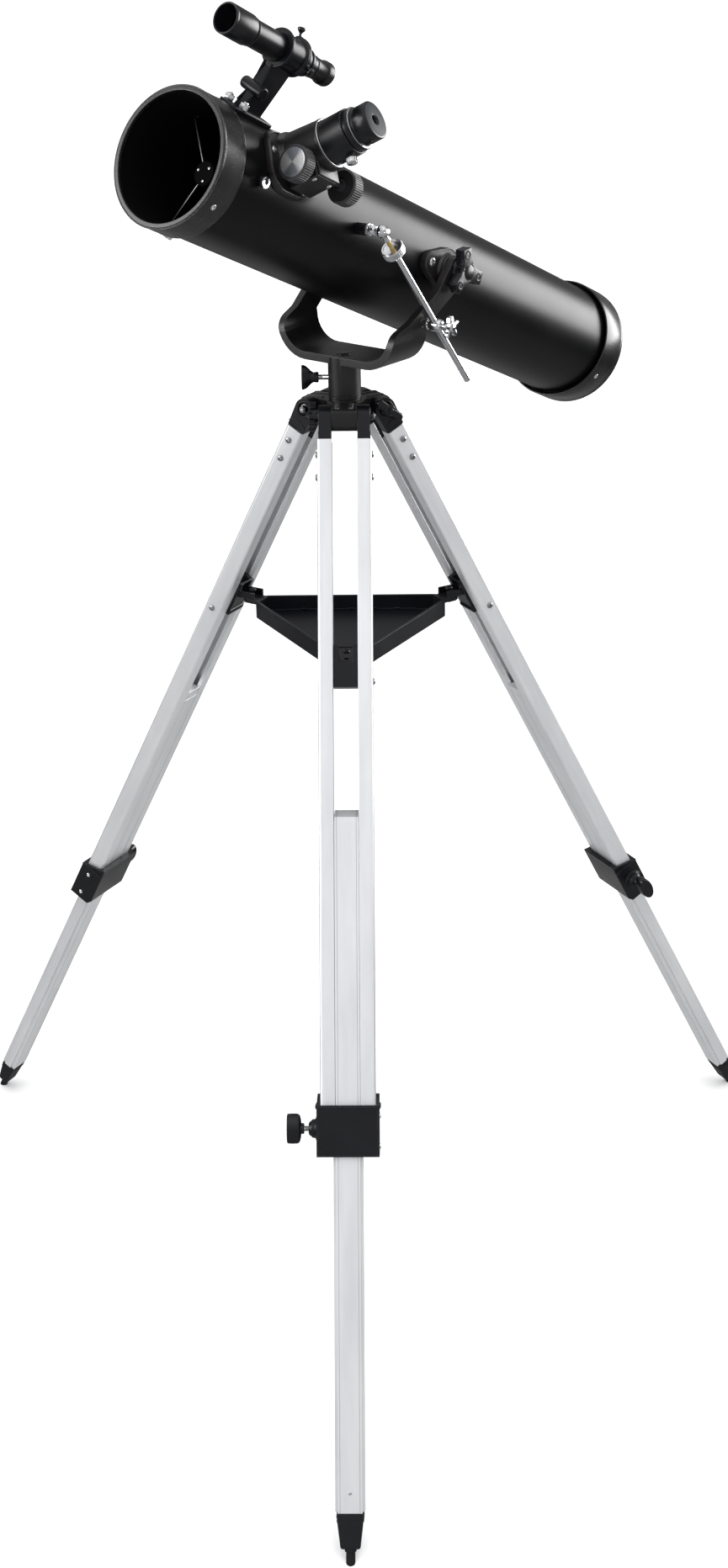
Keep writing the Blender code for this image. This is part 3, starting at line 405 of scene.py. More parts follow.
def surface(name, colour, roughness, metallic=0.0, specular=0.5, mottle=0.18, mottle_scale=35.0,
            grain=0.12, grain_scale=1400.0, swing=0.06, edge=0.35, edge_colour=None, round_by=0.0005,
            local=None, streak=0.0):
    """A worked surface: colour variation, fine grain, uneven gloss, and softened edges with a painted
    highlight, broken up by noise like wear.
    """
    g = Graph(name)
    g.preset(Metallic=metallic, Specular_IOR_Level=specular)
    place = g.place()
    cloud = g.noise(place, mottle_scale, 4.0)
    shade = g.mix(
        g.remap(cloud, 0.3, 0.7, 0.0, 1.0), tint(colour, 1 - mottle), tint(colour, 1 + mottle))
    normal, rim = g.edges(round_by)
    # Lighter edges: a painted highlight along the rims, broken up by noise like wear.
    edge_highlight_and_wear = g.math("MULTIPLY", rim, g.remap(g.noise(place, 260.0, 2.0), 0.35, 0.65, 0.4, 1.0))
    edge_highlight_and_wear = g.math("MULTIPLY", edge_highlight_and_wear, edge)
    lighter = edge_colour or tuple(channel * 2.2 + 0.03 for channel in colour)
    g.wire("Base Color", g.mix(edge_highlight_and_wear, shade, lighter))
    fine = g.noise(place, grain_scale, 2.0)
    if streak:
        lines = g.noise(g.place(local, (900.0, 900.0, 6.0)), 1.0, 3.0)
        fine = g.math("ADD", g.math("MULTIPLY", fine, 1 - streak), g.math("MULTIPLY", lines, streak))
    uneven = g.math("ADD", g.math("MULTIPLY", fine, 0.5), g.math("MULTIPLY", cloud, 0.5))
    g.wire("Roughness", g.remap(uneven, 0.3, 0.7, roughness - swing, roughness + swing))
    g.wire("Normal", g.bump(fine, grain, GRAIN_DEPTH, normal))
    return g.material


# edge and edge_colour set the strength and colour of each surface's painted edge highlight.
ENAMEL = surface(
    "tube_enamel", (0.0024, 0.0024, 0.0028), 0.34, specular=0.14, grain=0.035, grain_scale=420.0,
    mottle_scale=14.0, swing=0.03, edge=0.25, round_by=0.0008)
CASTING = surface(
    "cast_paint", (0.0092, 0.0082, 0.0080), 0.34, specular=0.34, grain=0.48, grain_scale=1500.0,
    mottle=0.30, edge=0.8, edge_colour=(0.075, 0.070, 0.068), round_by=0.0010)
MACHINED = surface(
    "painted_ring", (0.0075, 0.0071, 0.0070), 0.28, specular=0.34, grain=0.24, grain_scale=1100.0,
    mottle=0.30, edge=0.8, edge_colour=(0.085, 0.082, 0.08), round_by=0.0008, local=TUBE, streak=0.45)
RING = surface(
    "front_ring_paint", (0.0080, 0.0076, 0.0074), 0.27, specular=0.55, grain=0.22, grain_scale=1100.0,
    mottle=0.30, edge=0.8, edge_colour=(0.085, 0.082, 0.08), round_by=0.0008, local=TUBE, streak=0.45)
PLASTIC = surface(
    "black_plastic", (0.0036, 0.0039, 0.0056), 0.30, specular=0.28, grain=0.10, grain_scale=1900.0,
    edge=0.7, edge_colour=(0.045, 0.048, 0.060), round_by=0.0007)
GLOSS = surface(
    "gloss_plastic", (0.0030, 0.0032, 0.0046), 0.28, specular=0.32, grain=0.04, grain_scale=900.0,
    edge=0.6, edge_colour=(0.040, 0.042, 0.055), round_by=0.0007)
TRAY = surface(
    "tray_plastic", (0.0046, 0.0050, 0.0072), 0.38, specular=0.26, grain=0.22, grain_scale=2300.0,
    edge=0.8, edge_colour=(0.060, 0.062, 0.075), round_by=0.0009)
RUBBER = surface(
    "foot_rubber", (0.0046, 0.0050, 0.0068), 0.50, specular=0.25, grain=0.25, grain_scale=1700.0,
    edge=0.5, edge_colour=(0.040, 0.042, 0.050), round_by=0.0008)
CHROME = surface(
    "chrome", (0.66, 0.665, 0.68), 0.15, metallic=1.0, grain=0.02, mottle=0.05, swing=0.04, edge=0.2,
    edge_colour=(0.95, 0.95, 0.95), round_by=0.0002)
STEEL = surface(
    "dark_steel", (0.33, 0.33, 0.34), 0.30, metallic=1.0, grain=0.05, mottle=0.1, swing=0.06, edge=0.3,
    edge_colour=(0.7, 0.7, 0.7), round_by=0.0003)
SATIN = surface(
    "satin_paint", (0.0030, 0.0032, 0.0046), 0.34, specular=0.36, grain=0.05, grain_scale=700.0,
    edge=0.8, edge_colour=(0.045, 0.047, 0.060), swing=0.03, round_by=0.0008)
BLACKED = surface(
    "blacked_steel", (0.060, 0.060, 0.064), 0.30, metallic=1.0, grain=0.05, mottle=0.1, edge=0.5,
    edge_colour=(0.35, 0.35, 0.36), round_by=0.0003)
BRASS = surface(
    "brass", (0.62, 0.47, 0.20), 0.28, metallic=1.0, grain=0.05, mottle=0.1, edge=0.2, edge_colour=(0.8,
    0.65, 0.35), round_by=0.0002)
BURNISHED = surface(
    "burnished_casting", (0.10, 0.10, 0.105), 0.26, metallic=0.6, grain=0.08, mottle=0.2, edge=0.3,
    round_by=0.0006)
KNURL = surface(
    "knurled_plastic", (0.0120, 0.0122, 0.0135), 0.40, specular=0.55, grain=0.12, grain_scale=1700.0,
    edge=0.9, edge_colour=(0.10, 0.10, 0.11), round_by=0.0003)
GREY_FACE = surface(
    "grey_face", (0.040, 0.042, 0.047), 0.50, specular=0.12, grain=0.10, mottle=0.08, edge=0.2,
    round_by=0.0003)
INSIDE = surface("tube_flock", (0.0012, 0.0012, 0.0013), 0.90, specular=0.1, grain=0.3, edge=0.0)


def leg_metal(name, matrix, lines=()):
    """Satin drawn aluminium: long fine streaks, a painted highlight on the edges, and grooves at given
    distances from the middle with painted shade in them.
    """
    g = Graph(name)
    g.preset(Metallic=0.55, Anisotropic=0.4)
    place = g.place(matrix)
    cloud = g.noise(g.place(matrix, (60.0, 60.0, 9.0)), 1.0, 3.0)
    drawn = g.noise(g.place(matrix, (1500.0, 1500.0, 7.0)), 1.0, 3.0)
    fine = g.noise(place, 2600.0, 2.0)
    shade = g.mix(g.remap(cloud, 0.3, 0.7, 0.0, 1.0), (0.66, 0.668, 0.685), (0.75, 0.754, 0.765))
    normal, rim = g.edges(0.0006)
    # Lighter edges: a painted highlight along the rims.
    shade = g.mix(g.math("MULTIPLY", rim, 0.5), shade, (0.93, 0.93, 0.95))
    height = g.math("ADD", g.math("MULTIPLY", drawn, 0.8), g.math("MULTIPLY", fine, 0.2))
    across = g.math("ABSOLUTE", g.split(place)["X"])
    for line in lines:
        off = g.math("ABSOLUTE", g.math("SUBTRACT", across, line))
        groove = g.remap(off, 0.00015, 0.00045, 1.0, 0.0)
        # Painted shade: each groove is painted darker, as well as cut in by the bump.
        shade = g.mix(g.math("MULTIPLY", groove, 0.55), shade, (0.25, 0.25, 0.27))
        height = g.math("SUBTRACT", height, g.math("MULTIPLY", groove, 3.0))
    g.wire("Base Color", shade)
    g.wire("Roughness", g.remap(drawn, 0.3, 0.7, 0.30, 0.42))
    g.wire("Normal", g.bump(height, 0.10, 0.0001, normal))
    return g.material


def radial_brushed(name, matrix):
    """A faced metal disc with brushed rings, its base colour painted light and dark in quarters round
    its centre as a painted reflection.
    """
    g = Graph(name)
    g.preset(Metallic=1.0)
    axes = g.split(g.place(matrix))
    angle = g.math("ARCTAN2", axes["Y"], axes["X"])
    sweep = g.math("SINE", g.math("ADD", g.math("MULTIPLY", angle, 2.0), 2.2))
    radius = g.math(
        "SQRT", g.math("ADD", g.math("MULTIPLY", axes["X"], axes["X"]), g.math("MULTIPLY", axes["Y"],
        axes["Y"])))
    rings = g.math("SINE", g.math("MULTIPLY", radius, 9000.0))
    share = g.math("ADD", sweep, g.math("MULTIPLY", rings, 0.10))
    painted_reflection_quarters = g.remap(share, -0.45, 0.45, 0.0, 1.0)
    # Painted reflection: the base colour runs light and dark in quarters round the centre.
    g.wire("Base Color", g.mix(painted_reflection_quarters, (0.34, 0.36, 0.40), (0.92, 0.92, 0.93)))
    g.wire("Roughness", g.remap(rings, -1.0, 1.0, 0.24, 0.34))
    g.wire("Normal", g.bump(rings, 0.05, 0.00005))
    return g.material


def mirror_glass():
    g = Graph("mirror_glass")
    g.preset(Metallic=1.0)
    haze = g.noise(g.place(), 30.0, 4.0)
    g.wire("Base Color", g.mix(haze, (0.80, 0.82, 0.86), (0.90, 0.91, 0.92)))
    g.wire("Roughness", g.remap(haze, 0.3, 0.7, 0.015, 0.05))
    return g.material


def lens_glass():
    """Coated glass seen over a dark barrel: nearly black with a faint violet sheen."""
    g = Graph("lens_glass")
    g.preset(Coat_Weight=1.0, Coat_Roughness=0.03)
    haze = g.noise(g.place(), 120.0, 3.0)
    g.wire("Base Color", g.mix(haze, (0.006, 0.006, 0.010), (0.016, 0.012, 0.028)))
    g.wire("Roughness", g.remap(haze, 0.3, 0.7, 0.03, 0.08))
    return g.material


MIRROR = mirror_glass()
GLASS = lens_glass()
SHAFT = FOCUSER @ shift(y=KNOB_SIDE, z=KNOB_OUT)
SILVER_FACE = {
    "front": radial_brushed("silver_face_front", SHAFT @ ALONG_X), "rear":
    radial_brushed("silver_face_rear", SHAFT @ ALONG_MINUS_X), }
LEG_METAL = {i: leg_metal(f"leg_metal_{i}", LEGS[i]) for i in LEGS}
INNER_METAL = {i: leg_metal(f"inner_metal_{i}", LEGS[i], (0.0088,)) for i in LEGS}


def smooth_corners(mesh, angle=38):
    """Rounds the shading of a mesh whose faces are split apart, where they meet at a low angle."""
    meeting = {}
    for face in mesh.polygons:
        for loop in face.loop_indices:
            where = tuple(round(c, 6) for c in mesh.vertices[mesh.loops[loop].vertex_index].co)
            meeting.setdefault(where, []).append((loop, face.normal, face.area))
    limit = cos(radians(angle))
    normals = [Vector((0.0, 0.0, 1.0))] * len(mesh.loops)
    for corners in meeting.values():
        for loop, own, _ in corners:
            total = Vector()
            for _, other, area in corners:
                if own.dot(other) > limit:
                    total += other * area
            normals[loop] = total.normalized()
    mesh.shade_smooth()
    mesh.normals_split_custom_set(normals)


def dress(material, *names):
    for name in names:
        mesh = NODES[name].data
        mesh.materials.clear()
        mesh.materials.append(material)
        for face in mesh.polygons:
            face.material_index = 0
        smooth_corners(mesh)


def dress_frame():
    dress(ENAMEL, "main_tube")
    dress(MACHINED, "front_ring", "rear_cell")
    dress(CASTING, "hub", "fork_yoke", "trunnion_near", "trunnion_far", "focuser_body")
    dress(GLOSS, "altitude_knob_near", "altitude_knob_far", "focus_knobs")
    dress(SATIN, "eyepiece", "finder_tube", "focuser_drawtube")
    dress(
        PLASTIC, "finder_bracket", "spider", "secondary_mirror", "slow_motion_stud",
        "azimuth_lock_knob")
    dress(TRAY, "accessory_tray")
    dress(
        CHROME, "slow_motion_swivel", "slow_motion_nut", "slow_motion_rod", "rod_clamp", "clamp_screw",
        "eyepiece_screw", "finder_screw_1", "finder_screw_2")
    dress(STEEL, "azimuth_bolt")
    dress(MIRROR, "primary_mirror")
    for i in LEGS:
        dress(LEG_METAL[i], f"leg_{i}_channel_a", f"leg_{i}_channel_b")
        dress(INNER_METAL[i], f"leg_{i}_inner")
        dress(RUBBER, f"leg_{i}_foot")
        dress(
            PLASTIC, f"leg_{i}_cheek_a", f"leg_{i}_cheek_b", f"leg_{i}_hinge_bolt", f"leg_{i}_collar",
            f"leg_{i}_lock_knob", f"leg_{i}_tray_bracket")


dress_frame()


# ---- fine parts: legs ---------------------------------------------------------------------------
def screws(name, matrix, places, radius, height, body, slot="bolt_steel", material=None):
    """Pan-head screws at (place, outward direction) pairs given in a local frame."""
    turned_only = matrix.to_3x3()
    spots = [pointing(matrix @ Vector(place), turned_only @ Vector(way)) for place, way in places]
    shapes = [moved(pan_screw(radius, height), spot) for spot in spots]
    piece(name, shapes, material or CHROME, body, slot=slot)


def swept(path, radius, closed=False, up=(0.0, 0.0, 1.0), steps=8):
    """A round bead of this radius along a path."""
    shape = bmesh.new()
    points = [Vector(point) for point in path]
    count = len(points)
    rings = []
    for i, point in enumerate(points):
        before = points[i - 1] if closed or i else point
        after = points[(i + 1) % count] if closed or i + 1 < count else point
        along = (after - before).normalized()
        side = along.cross(Vector(up)).normalized()
        rise = side.cross(along)
        rings.append(
            [shape.verts.new(point + (side * cos(a) + rise * sin(a)) * radius) for a in (2 * pi * k /
            steps for k in range(steps))])
    pairs = list(zip(rings, rings[1:]))
    if closed:
        pairs.append((rings[-1], rings[0]))
    else:
        shape.faces.new(rings[0])
        shape.faces.new(rings[-1])
    for one, two in pairs:
        for k in range(steps):
            m = (k + 1) % steps
            shape.faces.new((one[k], one[m], two[m], two[k]))
    bmesh.ops.recalc_face_normals(shape, faces=shape.faces)
    return shape


TRUMPET = (
    (0.0, 0.0104), (0.40, 0.0106), (0.70, 0.0112), (0.88, 0.0124), (0.96, 0.0130), (1.0, 0.0126),
    (0.985, 0.0112), (0.90, 0.0090), (0.72, 0.0066), (0.52, 0.0044), (0.40, 0.0022), (0.36, 0.0))
PADDLE = (
    (0.0, 0.0128), (0.50, 0.0129), (0.86, 0.0130), (0.95, 0.0126), (0.985, 0.0116), (1.0, 0.0080),
    (0.99, 0.0040), (0.94, 0.0022), (0.84, 0.0012), (0.60, 0.0004), (0.36, 0.0))


def wing_grip(half, start, outline=TRUMPET):
    """The flattened plastic grip of a wing screw, standing on z = start."""
    flare = [(share * half, z) for share, z in outline]
    grip = moved(
        turned([(r, start + z) for r, z in flare] + [(0.0, start)], 56), Matrix.Diagonal((1.0, 0.52,
        1.0, 1.0)))
    neck = turned(
        mm((0, 4), (3.6, 4), (4.6, 1.2), (4.8, -0.6), (4.8, -2), (4.3, -2.5), (0, -2.5), at=start), 32)
    ribs = [
        cuboid((side * half * 0.60 - 0.0007, -0.0026, start + 0.0060), (side * half * 0.60 + 0.0007,
        0.0026, start + 0.0118), 0.0004) for side in (-1, 1)]
    return [grip, neck, *ribs]


def threaded(radius, low, high, pitch=0.0008, steps=20):
    """A rod with fine ridges that stand for its thread."""
    profile = [(0.0, high)]
    z = high
    while z > low + pitch:
        profile += [(radius - 0.00018, z), (radius, z - pitch * 0.4)]
        z -= pitch
    profile += [(radius - 0.00018, low), (0.0, low)]
    return turned(profile, steps)


TRAY_WALL_Y = 0.0566  # inside of the tray's long wall, from its middle
TRAY_EAR_OUT = 0.1112  # its screws, from its middle
TRAY_FLOOR = 0.6836
CHANNEL_FACE = 0.0247  # outer faces, from the leg's middle
CHEEK_FACE = 0.0231
COLLAR_FACE = 0.0279
SCREW_LINE = 0.0008
BOLT_END = 0.0215
LOCK_Z = -0.6402  # height of the lock screw on the collar


def hexagon(radius, swing=0):
    corners = (radians(60 * k + swing) for k in range(6))
    return [(radius * cos(a), radius * sin(a)) for a in corners]


def leg_details(i):
    leg = LEGS[i]
    body = f"leg_{i}"
    spots = [
        ((side * CHANNEL_FACE, SCREW_LINE, z), (side, 0, 0)) for side in (-1, 1) for z in (-0.0352,
        -0.0560)]
    side = 1 if i == 3 else -1  # the bracket's screw is on the side away from the front
    spots.append(((side * CHANNEL_FACE, SCREW_LINE, -0.2412), (side, 0, 0)))
    screws(f"leg_{i}_channel_screws", leg, spots, 0.0030, 0.0020, body, material=STEEL)

    # The two plastic end pieces: a ringed disc round the bolt, and a lens-shaped panel below it.
    shapes = []
    for side in (-1, 1):
        face = side * CHEEK_FACE
        facing = shift(x=face) @ (ALONG_X if side > 0 else ALONG_MINUS_X)
        shapes.append(
            moved(turned(mm((6.7, 0.6), (7.6, 0.6), (8, 0.2), (8, -0.6), (6.7, -0.6)), 36), facing))
        crest = arc((0.0, -0.0262), 0.0128, 40, 140, 14)
        shapes.append(swept([(face, -x, z) for x, z in crest], 0.00045, up=(1, 0, 0)))
        sole = arc((0.0, -0.0086), 0.0128, 230, 310, 12)
        shapes.append(swept([(face, -x, max(z, -0.0217)) for x, z in sole], 0.00035, up=(1, 0, 0)))
    piece(f"leg_{i}_cheek_trim", shapes, PLASTIC, body, leg)

    # The hinge bolt: a hexagon, washer and bright tip on one side, a moulded wing grip on the other.
    tilt = leg @ turn(radians(25), "X")
    end = shift(x=-BOLT_END) @ ALONG_MINUS_X
    head = moved(prism(hexagon(0.0040), 0.0014, 0.0052, 0.0004), end)
    washer = moved(turned(mm((0, 1), (4.6, 1), (4.9, 0.8), (4.9, 0.2), (0, 0.2)), 32), end)
    tip = moved(turned(mm((0, 6.8), (1.8, 6.6), (2.6, 5.8), (2.8, 5), (0, 5)), 20), end)
    shank = moved(rod(0.0029, 0.0, 0.0440, steps=20), shift(x=-0.0218) @ ALONG_X)
    stand_in(
        f"leg_{i}_hinge_bolt", f"leg_{i}_hinge_bolt_steel", [head, washer, shank], BLACKED,
        f"leg_{i}_bolt", tilt, "bolt_steel")
    stand_in(
        f"leg_{i}_hinge_bolt", f"leg_{i}_hinge_bolt_tip", [tip], STEEL, f"leg_{i}_bolt", tilt,
        "bolt_steel")
    hub = turned(
        mm((0, 13.2), (2, 13.2), (2.6, 12.6), (2.6, 11.6), (4.6, 11.6), (5.2, 11), (5.6, 8), (5.6, 6.6),
        (6, 6), (6.3, 0.4), (0, 0.4)), 32)
    wing = prism(belt([(-0.0121, 0.0, 0.0036), (0.0121, 0.0, 0.0036)]), 0.0042, 0.0112, 0.0012, 3)
    ribs = [
        cuboid((side * x - 0.0005, -0.0041, 0.0048), (side * x + 0.0005, 0.0041, 0.0106), 0.0003) for
        side in (-1, 1) for x in (0.0080, 0.0102, 0.0124)]
    shapes = [moved(shape, shift(x=0.0214) @ ALONG_X) for shape in (hub, wing, *ribs)]
    stand_in(f"leg_{i}_hinge_bolt", f"leg_{i}_hinge_grip", shapes, GLOSS, f"leg_{i}_bolt", tilt)


def collar_details(i):
    leg = LEGS[i]
    body = f"leg_{i}"
    spots = [((-COLLAR_FACE, 0.0010, z), (-1, 0, 0)) for z in (-0.6290, -0.6560)]
    screws(f"leg_{i}_collar_screws", leg, spots, 0.0024, 0.0013, body)
    beads = [[(x, 0.0128, z) for z in (-0.6215, -0.6640)] for x in (-0.0262, 0.0262)]
    beads.append([(x, 0.0128, -0.6630) for x in (-0.0270, 0.0270)])
    shapes = [swept(path, 0.0004, up=(0, 1, 0)) for path in beads]
    shapes.insert(2, swept([(x, 0.0129, -0.6205) for x in (-0.0278, 0.0278)], 0.0007, up=(0, 1, 0)))
    steps = turned(
        mm((3.1, 7.6), (5, 7.6), (5.4, 7.2), (5.8, 5.2), (7.8, 4.8), (8.2, 4.4), (8.6, 1.6), (10, 1.2),
        (10.4, 0.8), (10.4, 0), (3.1, 0)), 40)
    shapes.append(moved(steps, shift(x=0.0276, z=LOCK_Z) @ ALONG_X))
    piece(f"leg_{i}_collar_trim", shapes, PLASTIC, body, leg)
    place = leg @ shift(x=0.0252, z=LOCK_Z) @ ALONG_X
    shank = threaded(0.0024, 0.0002, 0.0168)
    stand_in(
        f"leg_{i}_lock_knob", f"leg_{i}_lock_screw", [shank], CHROME, f"leg_{i}_lock", place,
        "bolt_steel")
    stand_in(
        f"leg_{i}_lock_knob", f"leg_{i}_lock_grip", wing_grip(0.0135, 0.0165, PADDLE), GLOSS,
        f"leg_{i}_lock", place)


def foot_details(i):
    leg = LEGS[i]
    body = f"leg_{i}_inner"
    spots = [((side * 0.0110, 0.0, -0.9660), (side, 0, 0)) for side in (-1, 1)]
    spots += [((0.0, 0.0089, -0.9580), (0, 1, 0))]
    screws(f"leg_{i}_foot_rivets", leg, spots, 0.0016, 0.0007, body)
    shapes = []
    for z, half_x, half_y in ((-0.9795, 0.0121, 0.0083), (-0.9832, 0.0118, 0.0081)):
        outline = rounded_box(half_x, half_y, 0.0022)
        shapes.append(swept([(x, y, z) for x, y in outline], 0.0004, closed=True))
    collar = turned(
        mm((0, -1007), (5.2, -1007.2), (5.8, -1008), (5.2, -1010.4), (4, -1011.2), (0, -1011.2)), 28)
    shapes.append(collar)
    piece(f"leg_{i}_foot_trim", shapes, RUBBER, body, leg, "foot_plastic")


def bracket_details(i):
    leg = LEGS[i]
    body = f"leg_{i}"
    level = leg @ turn(-joint_tilt(i), "X")
    back = level.inverted()
    ear = back @ Vector((AXIS.x, AXIS.y, 0.6980))
    spot = Vector((0.0, ear.y + TRAY_EAR_OUT, ear.z + 0.0068))
    screws(
        f"leg_{i}_bracket_screw", level, [(spot, (0, 0, 1))], 0.0036, 0.0024, body, "moulding", PLASTIC)
    shapes = [
        cuboid((side * 0.0106 - 0.0003, -0.0120, -0.2455), (side * 0.0106 + 0.0003, 0.0030, -0.2090))
        for side in (-1, 1)]
    shapes.append(
        swept([(-0.0105, -0.0105, -0.2085), (0.0105, -0.0105, -0.2085)], 0.0010, up=(0, 1, 0)))
    piece(f"leg_{i}_bracket_trim", shapes, PLASTIC, body, leg)


def joint_tilt(i):
    """How far a leg leans from the vertical."""
    up_axis = LEGS[i].to_3x3() @ UP
    return acos(up_axis.z)


for number in LEGS:
    leg_details(number)
    collar_details(number)
    foot_details(number)
    bracket_details(number)


# ---- fine parts: head, fork and tray ------------------------------------------------------------
def hub_details():
    for i in LEGS:
        place = LEGS[i] @ turn(-joint_tilt(i), "X")
        ribs = [
            moved(rod(0.0034, -0.0110, 0.0080, 0.0012, 32), shift(x=side * 0.0062, z=0.0064) @ ALONG_Y)
            for side in (-1, 1)]
        piece(f"hub_lug_ribs_{i}", ribs, BURNISHED, "stand_head", place, "casting")
    seam = turned(mm((14.7, 913.8), (15.3, 913.6), (15.5, 913.2), (15.3, 912.6), (14.7, 912.4)), 56)
    piece("hub_neck_ring", [seam], MACHINED, "stand_head", Matrix.Translation(AXIS), "casting")
    plug = turned(mm((0, 952.4), (4, 952.4), (6.2, 951.9), (6.6, 951.1), (0, 951.1)), 32)
    piece("fork_centre_plug", [plug], GLOSS, "fork", FORK)


def azimuth_lock_details():
    axis = joint_axis("azimuth_lock_turn")
    place = frame_of(joint_place("azimuth_lock_turn") - axis * 0.03, UP, axis)
    place = place @ turn(pi / 2, "Z") if abs((place.to_3x3() @ Vector((1, 0, 0))).z) < 0.5 else place
    stand_in(
        "azimuth_lock_knob", "azimuth_lock_screw", [threaded(0.0024, 0.0112, 0.0262)], CHROME,
        "azimuth_lock", place, "bolt_steel")
    stand_in(
        "azimuth_lock_knob", "azimuth_lock_grip", wing_grip(0.0115, 0.0261), GLOSS, "azimuth_lock",
        place)


def altitude_knob_details(name, sign):
    way = ALONG_X if sign > 0 else ALONG_MINUS_X
    face = 0.0738
    collar = turned(mm((0, 3.6), (9.8, 3.6), (11.2, 3), (11.6, 2.4), (11.6, 0), (0, 0)), 48)
    shank = rod(0.0039, -0.0150, 0.0005, steps=28)
    hub = turned(
        mm((0, 12.8), (5, 12.8), (6.2, 12.2), (6.6, 11), (9.8, 10.6), (10.6, 9.8), (10.8, 3), (0, 3)),
        48)
    shapes = [collar, shank, hub]
    for k in range(3):
        edge = mm((3, -8.8), (11, -6.2), (15, -6), (20.4, -6.2), (21.4, -5.2))
        outline = edge + [(x, -y) for x, y in reversed(edge)]
        arm = prism(outline, 0.0020, 0.0114, 0.0010, 3)
        ring = moved(
            turned(mm((2.6, 11.8), (3.4, 11.9), (3.9, 11.6), (3.9, 11), (2.6, 11)), 24),
            shift(x=0.0160))
        shapes += [moved(shape, turn(2 * pi * k / 3, "Z")) for shape in (arm, ring)]
    shapes = [moved(shape, way @ shift(z=face)) for shape in shapes]
    stand_in(
        f"altitude_knob_{name}", f"altitude_grip_{name}", shapes, GLOSS, f"altitude_knob_{name}", TUBE)


def trunnion_details(name, sign):
    face = 0.0605
    spots = [((sign * face, 0.0, z), (sign, 0, 0)) for z in (-0.0245, 0.0245)]
    screws(f"trunnion_screws_{name}", TUBE, spots, 0.0042, 0.0022, "telescope")
    outline = belt(
        [(0.0, 0.0245, 0.0092), (0.0, 0.0, 0.0182), (0.0, -0.0245, 0.0092), (0.0, 0.0, 0.0182)])
    rim = swept([(sign * (face + 0.0001), x, y) for x, y in outline], 0.0005, closed=True, up=(1, 0, 0))
    boss = moved(
        turned(mm((0, 0), (12.8, 0), (13.1, -0.6), (13.1, -3), (15, -5.2), (0, -5.2)), 40), (ALONG_X if
        sign > 0 else ALONG_MINUS_X) @ shift(z=face + 0.0050))
    piece(f"trunnion_trim_{name}", [rim, boss], RING, "telescope", TUBE, "casting")


def tray_details():
    """A line where the floor meets each wall, small bosses along it, and the nuts under the ears."""
    middle = Matrix.Translation(AXIS)
    shapes = []
    for k in range(3):
        spin = turn(-2 * pi * k / 3, "Z")
        low = (-0.0640, TRAY_WALL_Y - 0.0009, TRAY_FLOOR)
        bead = cuboid(low, (0.0640, TRAY_WALL_Y, TRAY_FLOOR + 0.0010), 0.0003)
        shapes.append(moved(bead, spin))
        for x in (-0.046, -0.023, 0.0, 0.023, 0.046):
            low = (x - 0.0022, TRAY_WALL_Y - 0.0030, TRAY_FLOOR)
            boss = cuboid(low, (x + 0.0022, TRAY_WALL_Y, TRAY_FLOOR + 0.0026), 0.0005)
            shapes.append(moved(boss, spin))
    piece("tray_bosses", shapes, TRAY, "tray", middle)
    spots = [turn(-2 * pi * k / 3, "Z") @ Vector((0.0, -TRAY_EAR_OUT, 0.6938)) for k in range(3)]
    screws("tray_ear_nuts", middle, [(spot, -UP) for spot in spots], 0.0040, 0.0032, "tray")


hub_details()
azimuth_lock_details()
tray_details()
for side_name, side_sign in (("near", 1), ("far", -1)):
    altitude_knob_details(side_name, side_sign)
    trunnion_details(side_name, side_sign)


